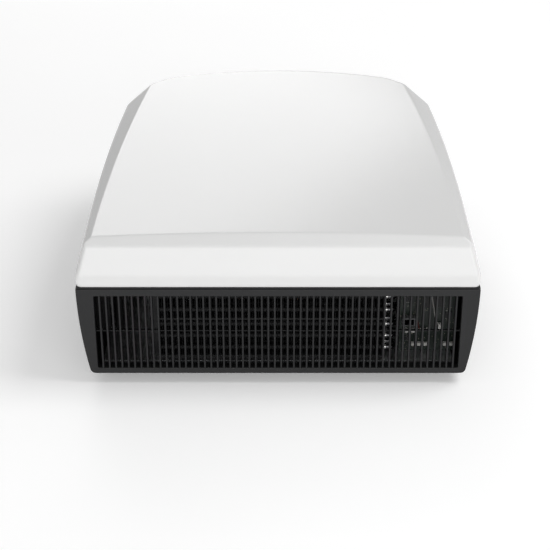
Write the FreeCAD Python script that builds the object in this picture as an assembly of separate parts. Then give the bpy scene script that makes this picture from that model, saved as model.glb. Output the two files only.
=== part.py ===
"""Home cinema laser projector, all sizes in millimetres.

+Z is up, +Y is the way the lens looks, the rear vent face is at -Y and the
keys are on the -X side. The origin is on the floor, under the middle.
"""
import FreeCAD
import Part
import math
import os

os.makedirs("parts", exist_ok=True)
V = FreeCAD.Vector

# Overall sizes
WIDTH = 460.0
DEPTH = 520.0
FOOT_HEIGHT = 13.4
BASE_HEIGHT = 114.0
COVER_HEIGHT = 67.6

# Walls and the outer form
CASE_WALL = 3.5
COVER_WALL = 2.5
SIDE_BOW_RADIUS = 4250.0
WIDEST_FROM_REAR = 100.0
BASE_BULGE_RADIUS = 560.0
BASE_CORNER = 5.0
SHADOW_GAP = 2.6
SHADOW_INSET = 1.5
COVER_ROLL = 14.0
COVER_LEAN = 16.5
RAMP_START = 46.5
RAMP_ANGLE = 39.0
DOME_RADIUS = 7350.0
DOME_CREST_FROM_REAR = 410.0
FACET_ANGLE = 30.0
FRONT_CORNER_BACK = 26.0
CHAMFER_BACK = 95.0
CHAMFER_SIDE = 22.0
REAR_CORNER = 6.0
FRONT_TOP_ROLL = 8.0

# Rear vent
SLOT_PITCH = 7.372
SLOT_WIDTH = 5.27
SLOT_BELOW_SEAM = 11.3
SLOT_ABOVE_BOTTOM = 7.5
GRILLE_DEPTH = 8.0
RIB_HEIGHT = 1.0

# Radiator and fans
FIN_BACK = 30.0
FIN_DEPTH = 25.0
FIN_PITCH = 3.2
FIN_THICKNESS = 0.8
TUBE_RADIUS = 3.0
TUBE_SPACING = 13.0
LEFT_DUCT = 90.5
RIGHT_BAY = 108.0
FAN_SIZE = 92.0
FAN_DEPTH = 25.0
FAN_BLADES = 7
SHAFT_RADIUS = 1.5
RUNNING_GAP = 0.05

# Lens and its shift carriages
LENS_BELOW_SEAM = 22.4
SURROUND_RADIUS = 72.0
BARREL_RADIUS = 42.0
RING_SEAT_RADIUS = 40.0
RING_RADIUS = 44.0
GEAR_MODULE = 1.0
RING_TEETH = 90
PINION_TEETH = 18
BACKLASH = 0.35
STUB_RADIUS = 28.0
GUIDE_RADIUS = 3.0
MOUNT_FROM_FRONT = 188.0

# Feet
FOOT_RADIUS = 13.0
STEM_RADIUS = 4.0

# Keys
KEY_RADIUS = 5.0
KEY_FLANGE = 6.2
KEY_PITCH = 14.0
KEY_TRAVEL = 1.0
KEY_GAP = 0.1

HALF_W = WIDTH / 2
REAR_Y = -DEPTH / 2
FRONT_Y = DEPTH / 2
FLOOR_Z = FOOT_HEIGHT
SEAM_Z = FLOOR_Z + BASE_HEIGHT
TOP_Z = SEAM_Z + COVER_HEIGHT
CREST_Y = REAR_Y + DOME_CREST_FROM_REAR
WIDEST_Y = REAR_Y + WIDEST_FROM_REAR
INNER_Z = FLOOR_Z + CASE_WALL
LENS_Z = SEAM_Z - LENS_BELOW_SEAM
RIGHT = V(1, 0, 0)
UP = V(0, 0, 1)
ALONG = V(0, 1, 0)


def box(x0, x1, y0, y1, z0, z1):
    return Part.makeBox(x1 - x0, y1 - y0, z1 - z0, V(x0, y0, z0))


def rod_x(radius, x0, x1, y, z):
    return Part.makeCylinder(radius, x1 - x0, V(x0, y, z), RIGHT)


def rod_y(radius, y0, y1, x, z):
    return Part.makeCylinder(radius, y1 - y0, V(x, y0, z), ALONG)


def rod_z(radius, z0, z1, x, y):
    return Part.makeCylinder(radius, z1 - z0, V(x, y, z0), UP)


def mirrored(shape):
    return shape.mirror(V(0, 0, 0), RIGHT)


def outline(points):
    return Part.Face(Part.makePolygon(points + [points[0]]))


def turned(profile, x=0.0, z=None):
    """Solid of revolution about a line along Y; profile is (radius, y) pairs."""
    z = LENS_Z if z is None else z
    face = outline([V(x + r, y, z) for r, y in profile])
    return face.revolve(V(x, 0, z), ALONG, 360)


def rounded_outline(corners):
    """Face in the floor plane from (x, y, radius) corners."""
    edges, joints = [], []
    count = len(corners)
    for i, (x, y, radius) in enumerate(corners):
        here = V(x, y, 0)
        before = (V(*corners[i - 1][:2], 0) - here).normalize()
        after = (V(*corners[(i + 1) % count][:2], 0) - here).normalize()
        if not radius:
            joints.append((here, here))
            continue
        half = before.getAngle(after) / 2
        reach = radius / math.tan(half)
        middle = (before + after).normalize()
        centre = here + middle * (radius / math.sin(half))
        start, end = here + before * reach, here + after * reach
        edges.append(Part.Arc(start, centre - middle * radius, end).toShape())
        joints.append((start, end))
    for i in range(count):
        edges.append(Part.LineSegment(joints[i - 1][1], joints[i][0]).toShape())
    return Part.Face(Part.Wire(Part.__sortEdges__(edges)))


def edges_where(shape, test):
    found = []
    for edge in shape.Edges:
        if edge.Length > 0.5:
            middle = edge.valueAt((edge.FirstParameter + edge.LastParameter) / 2)
            if test(middle, edge.BoundBox):
                found.append(edge)
    return found


def save(name, shape):
    shape.exportStep("parts/" + name + ".step")


# The outer form. Each side is a section turned about a far upright axis,
# the rear is the same section drawn out along X, and the plan closes the front.
def bowed_sides(section, radius_centre_x, widest_y):
    axis = V(radius_centre_x, widest_y, 0)
    section.translate(V(0, widest_y, 0))
    reach = math.degrees(math.asin(DEPTH / (-radius_centre_x - WIDTH)))
    # At some sizes the two sides meet along a shared edge and the cut is lost,
    # so a sweep of another length, well past the ends, is tried
    for sweep in (reach, 1.1 * reach, 0.9 * reach):
        turned = section.copy()
        turned.rotate(axis, UP, -sweep)
        right = turned.revolve(axis, UP, 2 * sweep)
        both = right.common(mirrored(right))
        if both.Solids:
            break
    return both


def plan_prism(inset, z0, z1):
    half_arc = HALF_W - 75.0
    slope = 1.878 * FRONT_CORNER_BACK / half_arc
    apex = FRONT_Y - FRONT_CORNER_BACK + half_arc * slope
    bow = (apex - FRONT_Y) / (math.sqrt(1 + slope ** 2) - 1)
    corners = [(-HALF_W - 10, REAR_Y - 20, 0), (HALF_W + 10, REAR_Y - 20, 0),
               (HALF_W + 10, 0, 0), (HALF_W - CHAMFER_SIDE, FRONT_Y - CHAMFER_BACK, 50.0),
               (half_arc, FRONT_Y - FRONT_CORNER_BACK, 40.0), (0, apex, bow),
               (-half_arc, FRONT_Y - FRONT_CORNER_BACK, 40.0),
               (-HALF_W + CHAMFER_SIDE, FRONT_Y - CHAMFER_BACK, 50.0), (-HALF_W - 10, 0, 0)]
    face = rounded_outline(corners)
    if inset:
        face = Part.Face(face.makeOffset2D(-inset).Wires[0])
    face.translate(V(0, 0, z0))
    return face.extrude(V(0, 0, z1 - z0))


def cover_offset(height):
    return 0.7 + (height - COVER_ROLL) * math.tan(math.radians(COVER_LEAN))


def cover_section(edge):
    top = COVER_HEIGHT + 5

    def at(offset, height):
        return V(edge - offset, 0, SEAM_Z + height)

    roll = Part.Arc(at(1.4, 0), at(0.2, COVER_ROLL / 2), at(0.7, COVER_ROLL)).toShape()
    rest = Part.makePolygon([at(0.7, COVER_ROLL), at(cover_offset(top), top),
                             V(-WIDTH, 0, SEAM_Z + top), V(-WIDTH, 0, SEAM_Z), at(1.4, 0)])
    return Part.Face(Part.Wire([roll] + rest.Edges))


def cover_form(inset=0.0):
    form = bowed_sides(cover_section(HALF_W - inset), HALF_W - SIDE_BOW_RADIUS, WIDEST_Y)
    rear = cover_section(-REAR_Y - inset)
    rear.rotate(V(0, 0, 0), UP, -90)
    rear.translate(V(-WIDTH, 0, 0))
    form = form.common(rear.extrude(V(2 * WIDTH, 0, 0))).Solids[0]
    corners = edges_where(form, lambda m, b: m.y < 0 and b.ZLength > 5 and b.XLength < WIDTH / 2)
    form = form.makeFillet(REAR_CORNER - inset, corners)
    form = form.common(plan_prism(inset, SEAM_Z, TOP_Z + 20))
    angle = math.radians(RAMP_ANGLE)
    along = V(0, math.cos(angle), math.sin(angle))
    foot = V(-WIDTH, REAR_Y + cover_offset(RAMP_START), SEAM_Z + RAMP_START)
    foot = foot + V(0, math.sin(angle), -math.cos(angle)) * inset
    low, high = foot - along * 100, foot + along * 200
    ramp = outline([low, high, V(-WIDTH, 3 * DEPTH, high.z), V(-WIDTH, 3 * DEPTH, 0),
                    V(-WIDTH, low.y, 0)])
    form = form.common(ramp.extrude(V(2 * WIDTH, 0, 0)))
    form = form.common(Part.makeSphere(DOME_RADIUS - inset, V(0, CREST_Y, TOP_Z - DOME_RADIUS)))
    form = form.common(facets(inset)).Solids[0]
    brow = edges_where(form, lambda m, b: m.z > TOP_Z - 6 and m.y > FRONT_Y - 50)
    return form.makeFillet(FRONT_TOP_ROLL - inset, brow).Solids[0]


def facets(inset):
    """Everything under the two sloping sides of the top."""
    angle = math.radians(FACET_ANGLE)
    z = SEAM_Z + 60
    curve = Part.Arc(V(HALF_W - 30.5, REAR_Y + 25, z), V(HALF_W - 26, REAR_Y + 190, z),
                     V(HALF_W - 43.2, REAR_Y + 450, z)).toShape().Curve
    slope = V(math.cos(angle), 0, -math.sin(angle))
    middle = V(curve.Center.x + curve.Radius, 0, z)
    middle = middle - V(math.sin(angle), 0, math.cos(angle)) * inset
    high, low = middle - slope * 100, middle + slope * 100
    section = outline([high, low, V(low.x, 0, SEAM_Z - 20), V(-WIDTH, 0, SEAM_Z - 20),
                       V(-WIDTH, 0, high.z)])
    return bowed_sides(section, curve.Center.x, curve.Center.y)


def bulge(depth_below_seam):
    return BASE_BULGE_RADIUS - math.sqrt(BASE_BULGE_RADIUS ** 2 - depth_below_seam ** 2)


def base_form(inset=0.0):
    drop = BASE_HEIGHT - BASE_CORNER
    corner = max(BASE_CORNER - inset, 1.0)
    x = HALF_W - inset

    def at(offset, depth):
        return V(x - offset, 0, SEAM_Z - depth)

    low = BASE_HEIGHT - inset
    knee = low - corner
    side = Part.Arc(at(0, 0), at(bulge(knee / 2), knee / 2), at(bulge(knee), knee)).toShape()
    turn = Part.Arc(at(bulge(knee), knee),
                    at(bulge(drop) + corner * 0.36, knee + corner * 0.72),
                    at(bulge(drop) + corner * 1.1, low)).toShape()
    rest = Part.makePolygon([at(bulge(drop) + corner * 1.1, low), V(-WIDTH, 0, SEAM_Z - low),
                             V(-WIDTH, 0, SEAM_Z), at(0, 0)])
    section = Part.Face(Part.Wire([side, turn] + rest.Edges))
    form = bowed_sides(section, HALF_W - SIDE_BOW_RADIUS, WIDEST_Y)
    form = form.common(plan_prism(inset, FLOOR_Z - 20, SEAM_Z + 20))
    return form.common(box(-WIDTH, WIDTH, REAR_Y + inset, WIDTH + DEPTH, -20, TOP_Z)).Solids[0]


# Two clamshell halves, with a dark groove under the white lip
COVER_OUTER = cover_form()
BASE_OUTER = base_form()
groove_z = SEAM_Z - SHADOW_GAP
base_solid = BASE_OUTER.common(box(-WIDTH, WIDTH, -DEPTH, DEPTH, 0, groove_z)).fuse(
    base_form(SHADOW_INSET).common(box(-WIDTH, WIDTH, -DEPTH, DEPTH, groove_z - 1, SEAM_Z + 5)))
base_shell = base_solid.cut(base_form(CASE_WALL))

SPLIT_Y = REAR_Y + CASE_WALL
FRONT_SPLIT_Y = FRONT_Y - CHAMFER_BACK
LIP_Z = FLOOR_Z + 8.0
front = base_shell.common(box(-WIDTH, WIDTH, FRONT_SPLIT_Y, WIDTH + DEPTH, LIP_Z, TOP_Z))
lens_hole = rod_y(SURROUND_RADIUS, FRONT_Y - 120, FRONT_Y + 10, 0, LENS_Z)
front = front.cut(lens_hole)
BOSS_TOP = SEAM_Z - 10.0
SCREW_RADIUS = 1.5
SCREW_SPOTS = [(sx * x, y) for sx in (-1, 1) for x, y in
               ((HALF_W - 38, REAR_Y + 95), (HALF_W - 50, REAR_Y + 0.46 * DEPTH),
                (HALF_W - 80, FRONT_Y - 90))]
FOOT_SPOTS = [(-(HALF_W - 70), FRONT_Y - 140), (HALF_W - 70, FRONT_Y - 140)]
REAR_FOOT_SPOTS = [(-(HALF_W - 60), REAR_Y + 60), (HALF_W - 60, REAR_Y + 60)]
INSERT_SPOTS = [(sx * (HALF_W - 110), y) for sx in (-1, 1) for y in (REAR_Y + 160, FRONT_Y - 160)]
INSERT_RADIUS = 4.0
INSERT_HOLE = 2.5
INSERT_DEPTH = 9.0
STEM_TOP = INNER_Z + 23.0

# Keys and their tray, left side
TRAY_Y = (REAR_Y + 0.54 * DEPTH, REAR_Y + 0.54 * DEPTH + 100)
TRAY_Z = (SEAM_Z - 81.0, SEAM_Z - 21.0)
TRAY_X = -(HALF_W - 22.0)
TRAY_PLATE = 2.0
key_mid_y = sum(TRAY_Y) / 2
key_mid_z = sum(TRAY_Z) / 2
KEYS = {"up_key": (18, KEY_PITCH), "down_key": (18, -KEY_PITCH), "enter_key": (18, 0),
        "left_key": (18 + KEY_PITCH, 0), "right_key": (18 - KEY_PITCH, 0),
        "power_key": (-38, 14), "source_key": (-38, -14), "menu_key": (-20, 14),
        "back_key": (-20, -14)}

# Sockets and their tray, right side
IO_Y = (REAR_Y + 110.0, REAR_Y + 290.0)
IO_Z = (SEAM_Z - 82.0, SEAM_Z - 22.0)
IO_X = HALF_W - 22.0

# Filter bay and its hinged door, left side
DOOR_Y = (REAR_Y + 82.0, REAR_Y + 198.0)
DOOR_TOP = SEAM_Z - 23.0
HINGE_Z = SEAM_Z - 90.0
HINGE_X = -(HALF_W - bulge(SEAM_Z - HINGE_Z) - CASE_WALL / 2 - 0.2)
HINGE_BARREL = 1.7
PIN_RADIUS = 1.2
DOOR_GAP = 0.4
FILTER_X = (-(HALF_W - 17.0), -(HALF_W - 27.0))

# Case
openings = [box(-WIDTH, TRAY_X + 20, *TRAY_Y, *TRAY_Z), box(IO_X - 20, WIDTH, *IO_Y, *IO_Z),
            box(-WIDTH, HINGE_X + 12, DOOR_Y[0], DOOR_Y[1], HINGE_Z - 3.2, DOOR_TOP)]
case = base_shell.common(box(-WIDTH, WIDTH, SPLIT_Y, FRONT_SPLIT_Y, 0, TOP_Z)).cut(openings)
lip = base_shell.common(box(-WIDTH, WIDTH, FRONT_SPLIT_Y, WIDTH + DEPTH, 0, LIP_Z))
rails = []
for y0, y1 in ((DOOR_Y[0] - 6, DOOR_Y[0] - DOOR_GAP), (DOOR_Y[1] + DOOR_GAP, DOOR_Y[1] + 6)):
    rails.append(box(-WIDTH, FILTER_X[1] + 2, y0, y1, HINGE_Z - 10, DOOR_TOP + 6))
rails.append(box(FILTER_X[0] - 4, FILTER_X[1] + 2, DOOR_Y[0] - 1, DOOR_Y[1] + 1,
                 HINGE_Z - 10, HINGE_Z - 7))
inner_base = base_form(1.0)
rails = [rail.common(inner_base) for rail in rails]
bosses = [rod_z(5.0, FLOOR_Z + 1, BOSS_TOP, x, y) for x, y in SCREW_SPOTS]
bosses += [rod_z(8.0, FLOOR_Z + 1, STEM_TOP + 2, x, y) for x, y in FOOT_SPOTS]
bosses += [rod_z(7.0, FLOOR_Z + 1, FLOOR_Z + INSERT_DEPTH + 2, x, y) for x, y in INSERT_SPOTS]
case = case.fuse([lip] + rails + bosses)
drills = [rod_z(3.0, 0, FLOOR_Z + 6, x, y) for x, y in SCREW_SPOTS]
drills += [rod_z(SCREW_RADIUS + 0.2, 0, SEAM_Z, x, y) for x, y in SCREW_SPOTS]
drills += [rod_z(STEM_RADIUS + RUNNING_GAP, 0, SEAM_Z, x, y) for x, y in FOOT_SPOTS]
drills += [rod_z(INSERT_RADIUS, 0, FLOOR_Z + INSERT_DEPTH, x, y) for x, y in INSERT_SPOTS]
drills.append(rod_y(PIN_RADIUS + RUNNING_GAP, DOOR_Y[0] - 4, DOOR_Y[1] + 4, HINGE_X, HINGE_Z))
save("bottom_case", case.cut(drills).removeSplitter())

# Cover
cover = COVER_OUTER.cut(cover_form(COVER_WALL))
trim = cover_form(1.0)
posts = []
for x, y in SCREW_SPOTS:
    posts.append(rod_z(4.5, BOSS_TOP, SEAM_Z, x, y).fuse(
        rod_z(4.5, SEAM_Z, TOP_Z, x, y).common(trim)))
cover = cover.cut(lens_hole).fuse(posts)
cover = cover.cut([rod_z(SCREW_RADIUS, BOSS_TOP - 1, BOSS_TOP + 12, x, y) for x, y in SCREW_SPOTS])
save("top_cover", cover.removeSplitter())

screws = []
for x, y in SCREW_SPOTS:
    screws.append(rod_z(2.8, FLOOR_Z + 3.8, FLOOR_Z + 6, x, y).cut(
        rod_z(1.2, FLOOR_Z, FLOOR_Z + 5, x, y)).fuse(
        rod_z(SCREW_RADIUS, FLOOR_Z + 5, BOSS_TOP + 9, x, y)))
save("case_screws", Part.makeCompound(screws))
save("mount_inserts", Part.makeCompound(
    [rod_z(INSERT_RADIUS, FLOOR_Z, FLOOR_Z + INSERT_DEPTH, x, y).cut(
        rod_z(INSERT_HOLE, 0, SEAM_Z, x, y)) for x, y in INSERT_SPOTS]))

# Front panel with its two side vents
vents = []
vent_count = int((HALF_W - 118) / 8)
for i in range(vent_count):
    for side in (-1, 1):
        x = side * (SURROUND_RADIUS + 16 + 8 * i)
        vents.append(box(x - 1.75, x + 1.75, FRONT_SPLIT_Y, FRONT_Y, FLOOR_Z + 26, SEAM_Z - 30))
IR_X, IR_Z, IR_RADIUS = -(SURROUND_RADIUS + 26), SEAM_Z - 14, 5.0
ir_rod = rod_y(IR_RADIUS, FRONT_Y - 60, FRONT_Y, IR_X, IR_Z)
save("ir_window", ir_rod.common(base_shell))
save("front_panel", front.cut([ir_rod] + vents))

# Lens surround: a fixed funnel in the front opening
save("lens_surround", turned([(SURROUND_RADIUS, FRONT_Y - 14), (SURROUND_RADIUS, FRONT_Y - 1.5),
                              (SURROUND_RADIUS - 1.5, FRONT_Y - 0.3), (SURROUND_RADIUS - 4, FRONT_Y - 0.3),
                              (57.0, FRONT_Y - 20), (57.0, FRONT_Y - 24), (60.0, FRONT_Y - 24),
                              (60.0, FRONT_Y - 20), (SURROUND_RADIUS - 4, FRONT_Y - 14)]))

# Rear vent grille
grille = base_solid.common(box(-WIDTH, WIDTH, REAR_Y - 10, SPLIT_Y, 0, TOP_Z))
slot_count = round((WIDTH - 40.0) / SLOT_PITCH)
slot_low, slot_high = FLOOR_Z + SLOT_ABOVE_BOTTOM, SEAM_Z - SLOT_BELOW_SEAM
half_span = slot_count * SLOT_PITCH / 2
grille = grille.fuse(box(-half_span - 1.5, half_span + 1.5, SPLIT_Y, REAR_Y + GRILLE_DEPTH,
                         slot_low - 2.5, slot_high + 2.5))
slots = []
for i in range(slot_count):
    x = (i - (slot_count - 1) / 2) * SLOT_PITCH
    slot = box(x - SLOT_WIDTH / 2, x + SLOT_WIDTH / 2, REAR_Y - 5, REAR_Y + 20, slot_low, slot_high)
    slots.append(slot.makeFillet(1.5, edges_where(slot, lambda m, b: b.YLength > 20)))
grille = grille.cut(slots)
rib_z = (slot_low + slot_high) / 2
grille = grille.fuse(box(-half_span, half_span, REAR_Y + 4, REAR_Y + GRILLE_DEPTH,
                         rib_z - RIB_HEIGHT / 2, rib_z + RIB_HEIGHT / 2))
save("rear_grille", grille.removeSplitter())

# Control tray, its nine keys and the board behind them
tray = BASE_OUTER.common(box(-WIDTH, TRAY_X + TRAY_PLATE, *TRAY_Y, *TRAY_Z))
tray = tray.cut(box(-WIDTH, TRAY_X, TRAY_Y[0] + 3, TRAY_Y[1] - 3, TRAY_Z[0] + 3, TRAY_Z[1] - 3))
back = TRAY_X + TRAY_PLATE
switch_x = back + 1.2 + KEY_TRAVEL + 0.2
board_x = switch_x + 1.6
keypad = [box(board_x, board_x + 1.6, TRAY_Y[0] + 2, TRAY_Y[1] - 2, TRAY_Z[0] + 2, TRAY_Z[1] - 2)]
for y in (TRAY_Y[0] + 4, TRAY_Y[1] - 4):
    for z in (TRAY_Z[0] + 4, TRAY_Z[1] - 4):
        tray = tray.fuse(rod_x(2.0, back - 1, board_x, y, z))
for name, (dy, dz) in KEYS.items():
    y, z = key_mid_y + dy, key_mid_z + dz
    tray = tray.cut(rod_x(KEY_RADIUS + KEY_GAP, TRAY_X - 1, back + 0.5, y, z))
    cap = rod_x(KEY_RADIUS, TRAY_X - 2.5, back, y, z)
    cap = cap.makeFillet(0.6, edges_where(cap, lambda m, b: m.x < TRAY_X - 2.4))
    save(name, cap.fuse(rod_x(KEY_FLANGE, back, back + 1.2, y, z)))
    keypad.append(rod_x(2.5, switch_x, board_x, y, z))
save("control_panel", tray)
save("keypad_board", keypad[0].fuse(keypad[1:]))

# Filter door, louvred, on two moulded pins
door_zone = box(-WIDTH, HINGE_X + 8, DOOR_Y[0] + DOOR_GAP, DOOR_Y[1] - DOOR_GAP,
                HINGE_Z, DOOR_TOP - DOOR_GAP)
door = base_shell.common(door_zone)
door = door.fuse(rod_y(HINGE_BARREL, DOOR_Y[0] + DOOR_GAP, DOOR_Y[1] - DOOR_GAP, HINGE_X, HINGE_Z))
louvres = []
louvre_count = int((DOOR_TOP - HINGE_Z - 16) / 6.5)
for i in range(louvre_count):
    z = HINGE_Z + 10 + 6.5 * i
    louvres.append(box(-WIDTH, HINGE_X + 8, DOOR_Y[0] + 8, DOOR_Y[1] - 8, z, z + 3))
door = door.cut(louvres)
door = door.fuse(rod_y(PIN_RADIUS, DOOR_Y[0] - 3, DOOR_Y[1] + 3, HINGE_X, HINGE_Z))
save("filter_door", door)
filter_frame = box(*FILTER_X, DOOR_Y[0] - DOOR_GAP, DOOR_Y[1] + DOOR_GAP, HINGE_Z - 7, DOOR_TOP)
save("air_filter", filter_frame)

# Socket tray, main board, sockets and mains inlet
MAIN_X = IO_X - 10.0
io_tray = BASE_OUTER.common(box(IO_X, WIDTH, *IO_Y, *IO_Z))
io_tray = io_tray.cut(box(IO_X + 2, WIDTH, IO_Y[0] + 3, IO_Y[1] - 3, IO_Z[0] + 3, IO_Z[1] - 3))
io_mid = sum(IO_Z) / 2
INLET_Y = IO_Y[0] + 26
# (y from the tray's rear end, z from its middle, length, height)
SOCKETS = [(64, 12, 15.0, 6.0), (64, -12, 15.0, 6.0), (86, 12, 13.5, 6.5), (88, -12, 16.0, 13.0),
           (118, 0, 31.0, 12.5)]
JACKS = [(146, 10), (146, -10), (160, 10)]
sockets, holes = [], []
for dy, dz, length, height in SOCKETS:
    y, z = IO_Y[0] + dy, io_mid + dz
    shell = box(MAIN_X + 1.6, IO_X + 3, y - length / 2, y + length / 2, z - height / 2, z + height / 2)
    holes.append(shell)
    sockets.append(shell.cut(box(IO_X - 5, IO_X + 4, y - length / 2 + 1, y + length / 2 - 1,
                                 z - height / 2 + 1, z + height / 2 - 1)))
for dy, dz in JACKS:
    y, z = IO_Y[0] + dy, io_mid + dz
    jack = rod_x(4.0, MAIN_X + 1.6, IO_X + 3, y, z)
    holes.append(jack)
    sockets.append(jack.cut(rod_x(1.75, IO_X - 6, IO_X + 4, y, z)))
inlet = box(IO_X - 22, IO_X + 3, INLET_Y - 15, INLET_Y + 15, io_mid - 12, io_mid + 12)
holes.append(inlet)
inlet = inlet.cut(box(IO_X - 15, IO_X + 4, INLET_Y - 12, INLET_Y + 12, io_mid - 8.5, io_mid + 8.5))
prongs = [box(IO_X - 15.5, IO_X - 2, INLET_Y + dy - 1, INLET_Y + dy + 1, io_mid + dz - 2, io_mid + dz + 2)
          for dy, dz in ((-7, -1.5), (7, -1.5), (0, 3.0))]
save("ac_inlet", inlet.fuse(prongs))
save("sockets", Part.makeCompound(sockets))
save("io_panel", io_tray.cut(holes))
PLATE_TOP = INNER_Z + 1.2
main_y = (IO_Y[0] + 45, IO_Y[1] + 10)
main_parts = [box(MAIN_X, MAIN_X + 1.6, *main_y, PLATE_TOP, SEAM_Z - 12),
              box(MAIN_X - 12, MAIN_X, main_y[0] + 50, main_y[0] + 90, io_mid - 20, io_mid + 20)]
save("main_board", main_parts[0].fuse(main_parts[1:]))

# Chassis plate on the case floor
plate = box(-(HALF_W - 25), HALF_W - 25, REAR_Y + 21, CREST_Y - 90, INNER_Z, PLATE_TOP)
clear = [rod_z(6.0, 0, SEAM_Z, x, y) for x, y in SCREW_SPOTS]
clear += [rod_z(8.0, 0, SEAM_Z, x, y) for x, y in INSERT_SPOTS]
save("chassis_plate", plate.cut(clear))

# Radiator: two tiers of fins on six U tubes, in a frame with a header
rad_x = (-(HALF_W - LEFT_DUCT), HALF_W - RIGHT_BAY)
rad_y = (REAR_Y + FIN_BACK, REAR_Y + FIN_BACK + FIN_DEPTH)
frame_y = (rad_y[0], rad_y[1] + 5)
divider_z = SEAM_Z - 58.25
tiers = [(PLATE_TOP + 2, divider_z - 1.25), (divider_z + 1.25, SEAM_Z - 5)]
tube_y = [sum(rad_y) / 2 - TUBE_SPACING / 2, sum(rad_y) / 2 + TUBE_SPACING / 2]
tube_z = [z0 + (z1 - z0) * (k + 0.5) / 3 for z0, z1 in tiers for k in range(3)]
fins = []
for tier, (z0, z1) in enumerate(tiers):
    fin = box(rad_x[0] + 1, rad_x[0] + 1 + FIN_THICKNESS, *rad_y, z0, z1)
    fin = fin.cut([rod_x(TUBE_RADIUS, rad_x[0], rad_x[0] + 3, y, z)
                   for z in tube_z[3 * tier:3 * tier + 3] for y in tube_y])
    for i in range(int((rad_x[1] - rad_x[0] - 2) / FIN_PITCH)):
        copy = fin.copy()
        copy.translate(V(i * FIN_PITCH, 0, 0))
        fins.append(copy)
save("radiator_fins", Part.makeCompound(fins))

bend = TUBE_SPACING / 2
tubes = []
for z in tube_z:
    x_end = rad_x[1] + 9.5
    straight = [rod_x(TUBE_RADIUS, rad_x[0], x_end, y, z) for y in tube_y]
    ring = Part.Face(Part.Wire(Part.makeCircle(TUBE_RADIUS, V(x_end, tube_y[0], z), RIGHT)))
    turn = ring.revolve(V(x_end, sum(tube_y) / 2, z), UP, 180)
    tubes.append(straight[0].fuse([straight[1], turn]))
save("radiator_tubes", Part.makeCompound(tubes))

frame = [box(rad_x[0] - 8, rad_x[1] + 1.5, *frame_y, PLATE_TOP, PLATE_TOP + 2),
         box(rad_x[0] - 8, rad_x[1] + 1.5, *frame_y, SEAM_Z - 5, SEAM_Z - 3),
         box(rad_x[0] - 8, rad_x[0], *frame_y, PLATE_TOP, SEAM_Z - 3),
         box(rad_x[0], rad_x[1], *rad_y, divider_z - 1.25, divider_z + 1.25),
         box(rad_x[1], rad_x[1] + 1.5, *frame_y, PLATE_TOP, SEAM_Z - 3).cut(
             [rod_x(TUBE_RADIUS, rad_x[1] - 1, rad_x[1] + 2, y, z) for y in tube_y for z in tube_z])]
fan_size = min(FAN_SIZE, (rad_x[1] - rad_x[0] - 12) / 2)
fan_z = (PLATE_TOP + SEAM_Z - 3) / 2
fan_gap = (rad_x[1] - rad_x[0]) / 4 + 0.75
fan_x = [sum(rad_x) / 2 - fan_gap, sum(rad_x) / 2 + fan_gap]
shroud = box(rad_x[0], rad_x[1], frame_y[1] - 2, frame_y[1], PLATE_TOP, SEAM_Z - 3)
shroud = shroud.cut([rod_y(fan_size / 2 - 1.5, frame_y[0], frame_y[1] + 1, x, fan_z) for x in fan_x])
save("radiator_frame", frame[0].fuse(frame[1:] + [shroud]))

fan_y = (frame_y[1], frame_y[1] + FAN_DEPTH)
fan_frames = []
for name, x in zip(("fan_left_rotor", "fan_right_rotor"), fan_x):
    half = fan_size / 2
    shell = box(x - half, x + half, *fan_y, fan_z - half, fan_z + half)
    shell = shell.makeFillet(5.0, edges_where(shell, lambda m, b: b.YLength > 20))
    shell = shell.cut(rod_y(half - 1.5, *fan_y, x, fan_z))
    shell = shell.cut([rod_y(2.1, *fan_y, x + sx * (half - 5), fan_z + sz * (half - 5))
                       for sx in (-1, 1) for sz in (-1, 1)])
    spokes = [box(x - half + 0.5, x + half - 0.5, fan_y[1] - 3, fan_y[1], fan_z - 2, fan_z + 2),
              box(x - 2, x + 2, fan_y[1] - 3, fan_y[1], fan_z - half + 0.5, fan_z + half - 0.5),
              rod_y(17.0, fan_y[1] - 4, fan_y[1], x, fan_z)]
    shell = shell.fuse(spokes).cut(rod_y(SHAFT_RADIUS + RUNNING_GAP, fan_y[1] - 6, fan_y[1] + 1, x, fan_z))
    fan_frames.append(shell)
    blade = box(-6.5, 6.5, -0.7, 0.7, 15, half)
    blade.rotate(V(0, 0, 0), UP, 38)
    blade.translate(V(x, fan_y[0] + 10, fan_z))
    blades = []
    for i in range(FAN_BLADES):
        turned_blade = blade.copy()
        turned_blade.rotate(V(x, 0, fan_z), ALONG, 360 * i / FAN_BLADES)
        blades.append(turned_blade)
    disc = rod_y(half - 3.2, *fan_y, x, fan_z)
    rotor = rod_y(18.0, fan_y[0] + 3, fan_y[1] - 5, x, fan_z).fuse(
        [b.common(disc) for b in blades] + [rod_y(SHAFT_RADIUS, fan_y[1] - 6, fan_y[1] - 0.5, x, fan_z)])
    save(name, rotor)
save("fan_frames", Part.makeCompound(fan_frames))

# Driver board behind the right end of the rear vent
DRIVER_Y = REAR_Y + 45.0
dx0 = HALF_W - 87.0
driver = [box(dx0, HALF_W - 20, DRIVER_Y, DRIVER_Y + 1.6, PLATE_TOP, SEAM_Z - 14)]
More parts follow.
